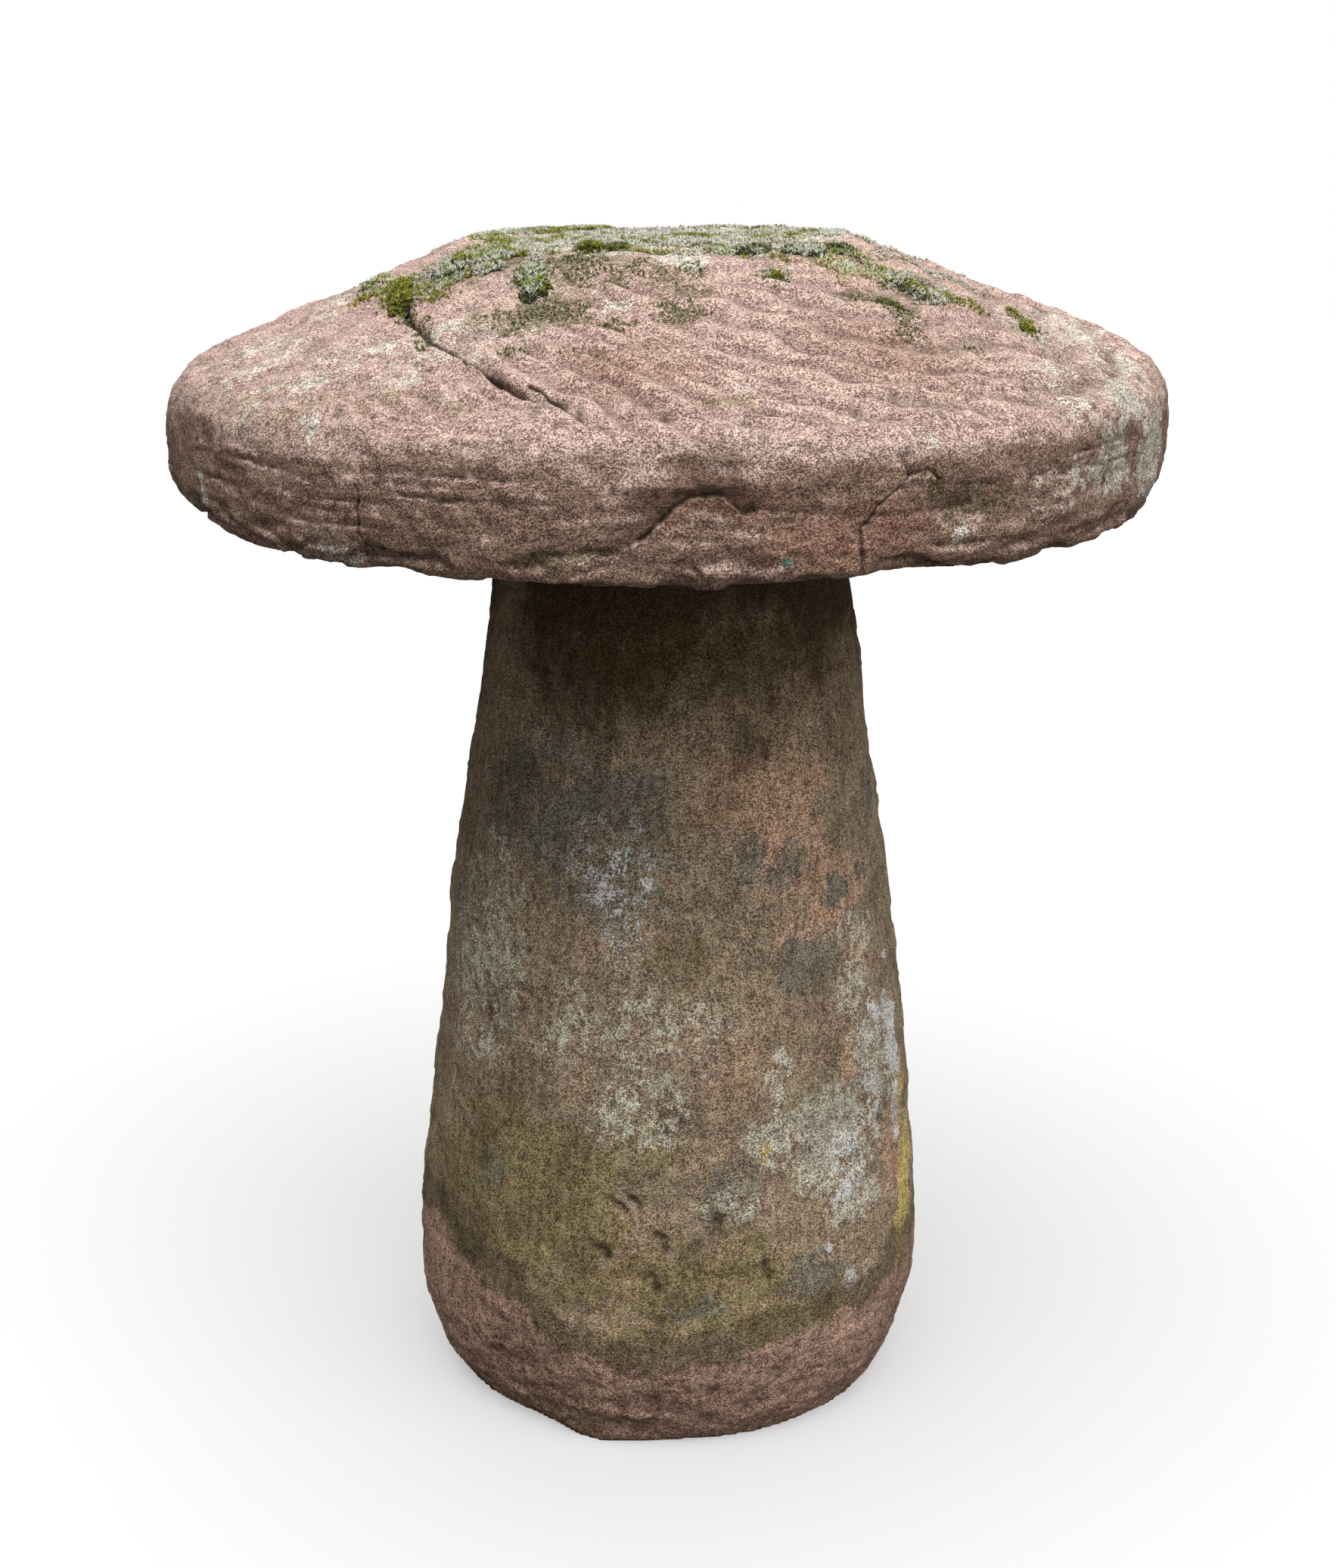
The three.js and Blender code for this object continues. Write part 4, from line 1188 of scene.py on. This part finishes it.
# %% Shoots of moss
GOLDEN_ANGLE = math.radians(137.5)
SHOOT_KINDS = {                         # leaves, their length and width in mm, and how far they spread
    "hoary": (7, 5.4, 1.1, 58),
    "golden": (7, 4.8, 1.1, 55),
    "pale": (6, 7.0, 1.4, 80),
    "frosty": (5, 3.8, 1.05, 70),
    "dark": (5, 3.0, 1.05, 62),
}
VARIANTS = 4                            # different shoots of each kind
LEAF_BELLY = 0.4                        # how far up its length a leaf is widest
LEAF_FLATNESS = 0.4                     # its thickness there, as a share of its width
LEAF_BEND = 0.12                        # how far it bows out there, as a share of its length
ROOT, GREEN, TIP = 0, 0.45, 1           # the numbers kept along a leaf
SHOOT_SEED = 11


def add_leaf(shoot, length, width, lean, turn):
    """Adds one closed leaf, which rises from the origin, leans out and is turned round Z."""
    leaf = bmesh.new()
    layer = leaf.verts.layers.float.new("tip")
    bmesh.ops.create_cone(leaf, cap_ends=True, segments=3, radius1=width / 2, radius2=0, depth=length)
    base = min(leaf.faces, key=lambda face: face.calc_center_median().z)
    root = bmesh.ops.poke(leaf, faces=[base])["verts"][0]
    for vertex in leaf.verts:
        vertex.co.z += length / 2
        vertex[layer] = GREEN
    tip = max(leaf.verts, key=lambda vertex: vertex.co.z)
    tip[layer] = TIP
    for vertex in leaf.verts:
        if vertex not in (root, tip):
            vertex.co.z = LEAF_BELLY * length
            vertex.co.y = LEAF_FLATNESS * vertex.co.y - LEAF_BEND * length
    root.co.z = 0
    root[layer] = ROOT
    leaf.transform(Matrix.Rotation(turn, 4, "Z") @ Matrix.Rotation(-lean, 4, "X"))
    mesh = bpy.data.meshes.new("leaf")
    leaf.to_mesh(mesh)
    leaf.free()
    shoot.from_mesh(mesh)
    bpy.data.meshes.remove(mesh)


def make_shoot(name, leaves, length, width, spread, draw):
    """A rosette of leaves as a mesh, upright on the origin. The outer leaves lean the most."""
    shoot = bmesh.new()
    for index in range(leaves):
        lean = math.radians(spread * ((index + 0.3) / leaves) ** 0.7 * draw.uniform(0.8, 1.15))
        own_length = length * draw.uniform(0.75, 1.0) * MM
        add_leaf(shoot, own_length, width * MM, lean, index * GOLDEN_ANGLE + draw.uniform(-0.3, 0.3))
    mesh = bpy.data.meshes.new(name)
    shoot.to_mesh(mesh)
    shoot.free()
    return mesh


draw = random.Random(SHOOT_SEED)
SHOOTS = {
    kind: [make_shoot(kind + "_shoot", *sizes, draw) for _ in range(VARIANTS)]
    for kind, sizes in SHOOT_KINDS.items()
}
print({kind: len(shoots[0].polygons) for kind, shoots in SHOOTS.items()}, "triangles a shoot")

# %% [markdown]
# ## Finishes of the moss
# A leaf is brown where it dies off at the root, green along its length and white in its hair. The number
# kept on the leaf's vertices, 0 at the root and 1 at the tip, mixes these. How frosty the tips are drifts
# over the cap, as the shoots are drier in some places than in others. A fine noise then lays the root's
# dark colour over leaves here and there as painted shade, for the shadow that falls between real shoots.

# %% Finishes of the moss
MOSS_COLOURS = {                        # root, leaf, other leaf, hair, where the hair starts, how frosty
    "hoary": ((0.015, 0.017, 0.004), (0.31, 0.39, 0.07), (0.70, 0.78, 0.27), (1.0, 1.0, 0.90), 0.28, 1.0),
    "golden": ((0.015, 0.015, 0.001), (0.21, 0.24, 0.015), (0.54, 0.54, 0.07), (0.93, 0.92, 0.45), 0.76, 0.5),
    "pale": ((0.10, 0.085, 0.02), (0.66, 0.60, 0.22), (0.84, 0.82, 0.42), (1.0, 0.98, 0.74), 0.5, 0.8),
    "frosty": ((0.06, 0.055, 0.02), (0.34, 0.37, 0.13), (0.64, 0.66, 0.34), (1.0, 1.0, 0.97), 0.32, 1.0),
    "dark": ((0.02, 0.02, 0.006), (0.10, 0.12, 0.025), (0.28, 0.32, 0.10), (0.84, 0.88, 0.68), 0.7, 0.8),
}


def moss_finish(name, root, leaf, other_leaf, hair, hair_from, frost):
    """Leaves that go from the root's colour through green to their hair, some darkened by painted shade."""
    material, tree, output = new_material(name)
    place = tree.nodes.new("ShaderNodeTexCoord").outputs["Object"]
    weather = place_group(tree, WEATHER, Vector=place)
    along = kept_number(tree, "tip")
    either = calc(tree, "MULTIPLY_ADD", weather["Pepper"], 0.9, -0.2)
    either = calc(tree, "MULTIPLY_ADD", weather["Fine"], 0.5, either)
    green = laid_on(tree, either, leaf, other_leaf)
    uneven = calc(tree, "MULTIPLY_ADD", weather["Pepper"], 0.5, calc(tree, "SUBTRACT", along, 0.25))
    colour = laid_on(tree, eased(tree, uneven, 0.12, 0.52), root, green)
    patchy = calc(tree, "MULTIPLY_ADD", weather["Fine"], 0.6, calc(tree, "MULTIPLY", weather["Medium"], 0.4))
    dry = calc(tree, "MULTIPLY", eased(tree, patchy, 0.2, 0.6), frost)
    white = calc(tree, "MULTIPLY", eased(tree, uneven, hair_from, hair_from + 0.3), dry)
    colour = laid_on(tree, white, colour, hair)
    # Painted shade: the root's dark colour laid over some leaves, as between real shoots.
    painted_shade = calc(tree, "SUBTRACT", 0.8, eased(tree, weather["Pepper"], 0.1, 0.5), clamp=True)
    colour = laid_on(tree, painted_shade, colour, root)
    shader = add_node(tree, "ShaderNodeBsdfPrincipled", {
        "Base Color": colour, "Roughness": 0.75, "Specular IOR Level": 0.3})
    tree.links.new(shader.outputs[0], output.inputs["Surface"])
    return material


MOSS_FINISHES = {kind: moss_finish(kind + "_moss", *colours) for kind, colours in MOSS_COLOURS.items()}
print("moss finishes:", *MOSS_FINISHES)

# %% [markdown]
# ## Cushions
# The frame has a plain solid for each cushion, which says where it lies and how high its tips reach. Here
# each becomes a dark bed, which is a lowered copy of the solid, planted with shoots a little over two
# millimetres apart. A ray dropped on the solid finds where each tip belongs, and the shoot leans with the
# surface there. Real edges are ragged, so noise leaves some of the outer shoots out.

# %% Cushions
CUSHIONS = {                            # the kind of moss, and a second kind that grows among it
    "moss_left_mat": ("hoary", "golden"), "moss_crack_cushion": ("golden", "golden"),
    "moss_tongue": ("hoary", "golden"), "moss_ridge_cushion": ("golden", "dark"),
    "moss_right_mat": ("dark", "hoary"), "moss_pale_tuft": ("pale", "hoary"),
    "moss_right_edge": ("hoary", "golden"), "moss_front_clump": ("golden", "hoary"),
    "moss_lower_clump": ("dark", "golden"), "moss_golden_tuft": ("golden", "dark"),
    "moss_crown_left": ("hoary", "golden"), "moss_crown_middle": ("hoary", "golden"),
    "moss_crown_right": ("hoary", "golden"), "moss_back_left": ("golden", "hoary"),
    "moss_back_right": ("hoary", "dark"), "moss_back_slope": ("golden", "hoary"),
    "moss_back_clump": ("golden", "dark"),
}
SHOOT_SPACING = 2.3                     # mm
SHOOT_SIZES = (0.72, 1.0)               # least and greatest, as shares of the kind's own size
BED_DROP = 3.6                          # how far the bed lies under the tips


def over(surface, x, y):
    """The place on a surface above or below a point in plan, in mm, and the way it faces."""
    place, normal, _, _ = surface.ray_cast(Vector((x * MM, y * MM, 1)), Vector((0, 0, -1)))
    return (place / MM, normal) if place else (None, None)


def jittered_grid(low, high, spacing, draw):
    """Points in plan, one in each square of a grid, anywhere in its square."""
    for row in range(math.ceil((high.y - low.y) / spacing)):
        for column in range(math.ceil((high.x - low.x) / spacing)):
            yield low.x + (column + draw.random()) * spacing, low.y + (row + draw.random()) * spacing


def plant(growth, kind, place, up, size, draw, finish=0):
    """Adds a shoot to a growth, with its root at a place in mm and one of the growth's finishes."""
    shoot = draw.choice(SHOOTS[kind]).copy()
    shoot.polygons.foreach_set("material_index", [finish] * len(shoot.polygons))
    upright = up.to_track_quat("Z", "Y").to_matrix().to_4x4()
    turned = Matrix.Rotation(draw.uniform(0, 2 * math.pi), 4, "Z")
    shoot.transform(Matrix.Translation(place * MM) @ upright @ turned @ Matrix.Scale(size, 4))
    growth.from_mesh(shoot)
    bpy.data.meshes.remove(shoot)


def finished_growth(name, growth, materials):
    """The piece that a growth of moss makes, with its finishes."""
    mesh = bpy.data.meshes.new(name)
    growth.to_mesh(mesh)
    growth.free()
    for material in materials:
        mesh.materials.append(material)
    piece = new_object(name, mesh)
    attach(piece, "root")
    return piece


def grow_cushion(node, kinds, seed):
    """A bed with shoots on it, in place of a solid of the frame."""
    draw = random.Random(seed)
    solid = welded_copy(node)
    surface = BVHTree.FromBMesh(solid)
    low, high = (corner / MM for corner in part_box(node))
    growth = bmesh.new()
    growth.verts.layers.float.new("tip")
    for x, y in jittered_grid(low, high, SHOOT_SPACING, draw):
        tip, normal = over(surface, x, y)
        if tip is None:
            continue
        stone, _ = over(cap_surface, x, y)
        thickness = tip.z - stone.z
        if thickness < 1 + 2.4 * max(noise.noise(tip / 10 + Vector((0, 0, seed))), -0.3):
            continue
        finish = 0 if noise.noise(tip / 12 + Vector((seed, 0, 0))) + draw.uniform(-0.2, 0.2) < 0.15 else 1
        length = SHOOT_KINDS[kinds[finish]][1]
        size = draw.uniform(*SHOOT_SIZES) * min(1, 0.55 + thickness / 12)
        up = (normal + Vector((0, 0, 1)) + noise.noise_vector(tip / 11) * 0.5).normalized()
        plant(growth, kinds[finish], tip - up * length * size, up, size, draw, finish)
    bmesh.ops.translate(solid, verts=solid.verts, vec=(0, 0, -BED_DROP * MM))
    bed = bpy.data.meshes.new("bed")
    solid.to_mesh(bed)
    solid.free()
    growth.from_mesh(bed)
    bpy.data.meshes.remove(bed)
    piece = finished_growth(node + "_growth", growth, [MOSS_FINISHES[kind] for kind in kinds])
    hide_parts(node)
    return len(piece.data.polygons)


counts = [grow_cushion(node, kinds, seed) for seed, (node, kinds) in enumerate(CUSHIONS.items())]
print(len(counts), "cushions,", sum(counts), "triangles, the largest", max(counts))

# %% [markdown]
# ## Thin moss between the cushions
# Over the flat of the crown and round the cushions the moss is only a thin frosty film, and lower down it
# is dark and sparse. These are the same kinds of shoot at a smaller size, standing on the carved stone
# itself. Patches say where they grow, noise makes the patches ragged, and each film is a mesh of its own.

# %% Thin moss between the cushions
FILMS = {                               # kind: how far apart, and patches of x, y, half sizes and strength
    "hoary": (3.4, (
        (-122, -96, 18, 12, 0.8), (-96, -74, 26, 18, 0.8), (-176, -44, 16, 20, 0.8),
        (110, 100, 40, 30, 0.8), (-60, -66, 26, 14, 0.7), (28, -66, 26, 14, 0.7), (152, -102, 18, 10, 0.8),
        (-120, 90, 36, 30, 0.8),
    )),
    "golden": (3.4, (
        (-170, -64, 26, 22, 1.0), (-150, -90, 24, 18, 0.9), (-134, -112, 16, 10, 0.8),
        (-110, -58, 24, 14, 0.8), (60, -92, 18, 12, 0.7), (172, -80, 24, 16, 0.8), (92, -62, 30, 12, 0.7),
        (0, 140, 50, 20, 0.7), (-8, -74, 22, 10, 0.7),
    )),
    "pale": (4.2, ((106, -88, 26, 28, 0.95), (122, -68, 22, 20, 0.8), (88, -100, 14, 12, 0.7))),
    "frosty": (2.8, (
        (0, 10, 132, 112, 0.95), (-126, -64, 50, 50, 0.8), (-96, -40, 40, 40, 0.9), (76, -46, 70, 32, 0.7),
        (140, -72, 44, 30, 1.0), (-80, -112, 20, 34, 0.8), (158, -20, 40, 30, 0.75),
        (118, 30, 50, 44, 0.8), (-150, -96, 22, 30, 0.8), (-70, 90, 60, 50, 0.8), (-120, 60, 44, 50, 0.7),
        (60, -112, 18, 18, 0.7),
    )),
    "dark": (2.6, (
        (-58, -112, 26, 30, 0.75), (-78, -167, 36, 22, 0.9), (-82, -203, 12, 8, 0.75),
        (-44, -212, 16, 9, 0.7), (-31, -185, 11, 10, 0.8), (-13, -126, 30, 22, 0.55),
        (12, -122, 18, 14, 0.55), (7, -173, 22, 10, 0.75), (134, -158, 20, 12, 0.8),
        (150, -176, 14, 7, 0.6), (174, -155, 12, 6, 0.75), (112, -121, 12, 8, 0.6),
        (-182, -44, 8, 26, 0.8), (-150, -122, 9, 22, 0.85), (-136, -160, 6, 26, 0.8),
        (127, -128, 20, 16, 0.8), (212, -84, 14, 34, 0.8), (-128, -118, 8, 6, 0.9),
        (-116, -118, 6, 5, 0.9), (62, -124, 18, 16, 0.7), (196, -20, 9, 12, 0.7), (60, 150, 70, 40, 0.7),
        (-60, 180, 60, 40, 0.7), (-180, 60, 30, 60, 0.6), (170, 110, 40, 40, 0.6),
    )),
}
FILM_REACH = 236                        # how far from the middle of the cap they grow
FILM_SHOOT_SIZES = (0.6, 1.0)
FILM_SINK = 0.4                         # how deep their roots go in the stone
FIRST_FILM_SEED = 50


def grow_film(kind, spacing, patches, seed):
    """A thin moss on the stone itself, in patches whose edges noise makes ragged."""
    draw = random.Random(seed)
    growth = bmesh.new()
    corner = Vector((FILM_REACH, FILM_REACH))
    for x, y in jittered_grid(-corner, corner, spacing, draw):
        strength = strongest(Vector((x, y)), patches)
        spot = Vector((x, y, seed))
        strength += 0.7 * noise.noise(spot / 15) + 0.45 * noise.noise(spot / 5) if strength > 0.05 else 0
        if strength < 0.5:
            continue
        root, normal = over(cap_surface, x, y)
        up = (normal + noise.noise_vector(spot / 6) * 0.5).normalized()
        plant(growth, kind, root - up * FILM_SINK, up, draw.uniform(*FILM_SHOOT_SIZES), draw)
    piece = finished_growth(kind + "_film", growth, [MOSS_FINISHES[kind]])
    print(piece.name, len(piece.data.polygons), "triangles")


for seed, (kind, (spacing, patches)) in enumerate(FILMS.items(), start=FIRST_FILM_SEED):
    grow_film(kind, spacing, patches, seed)
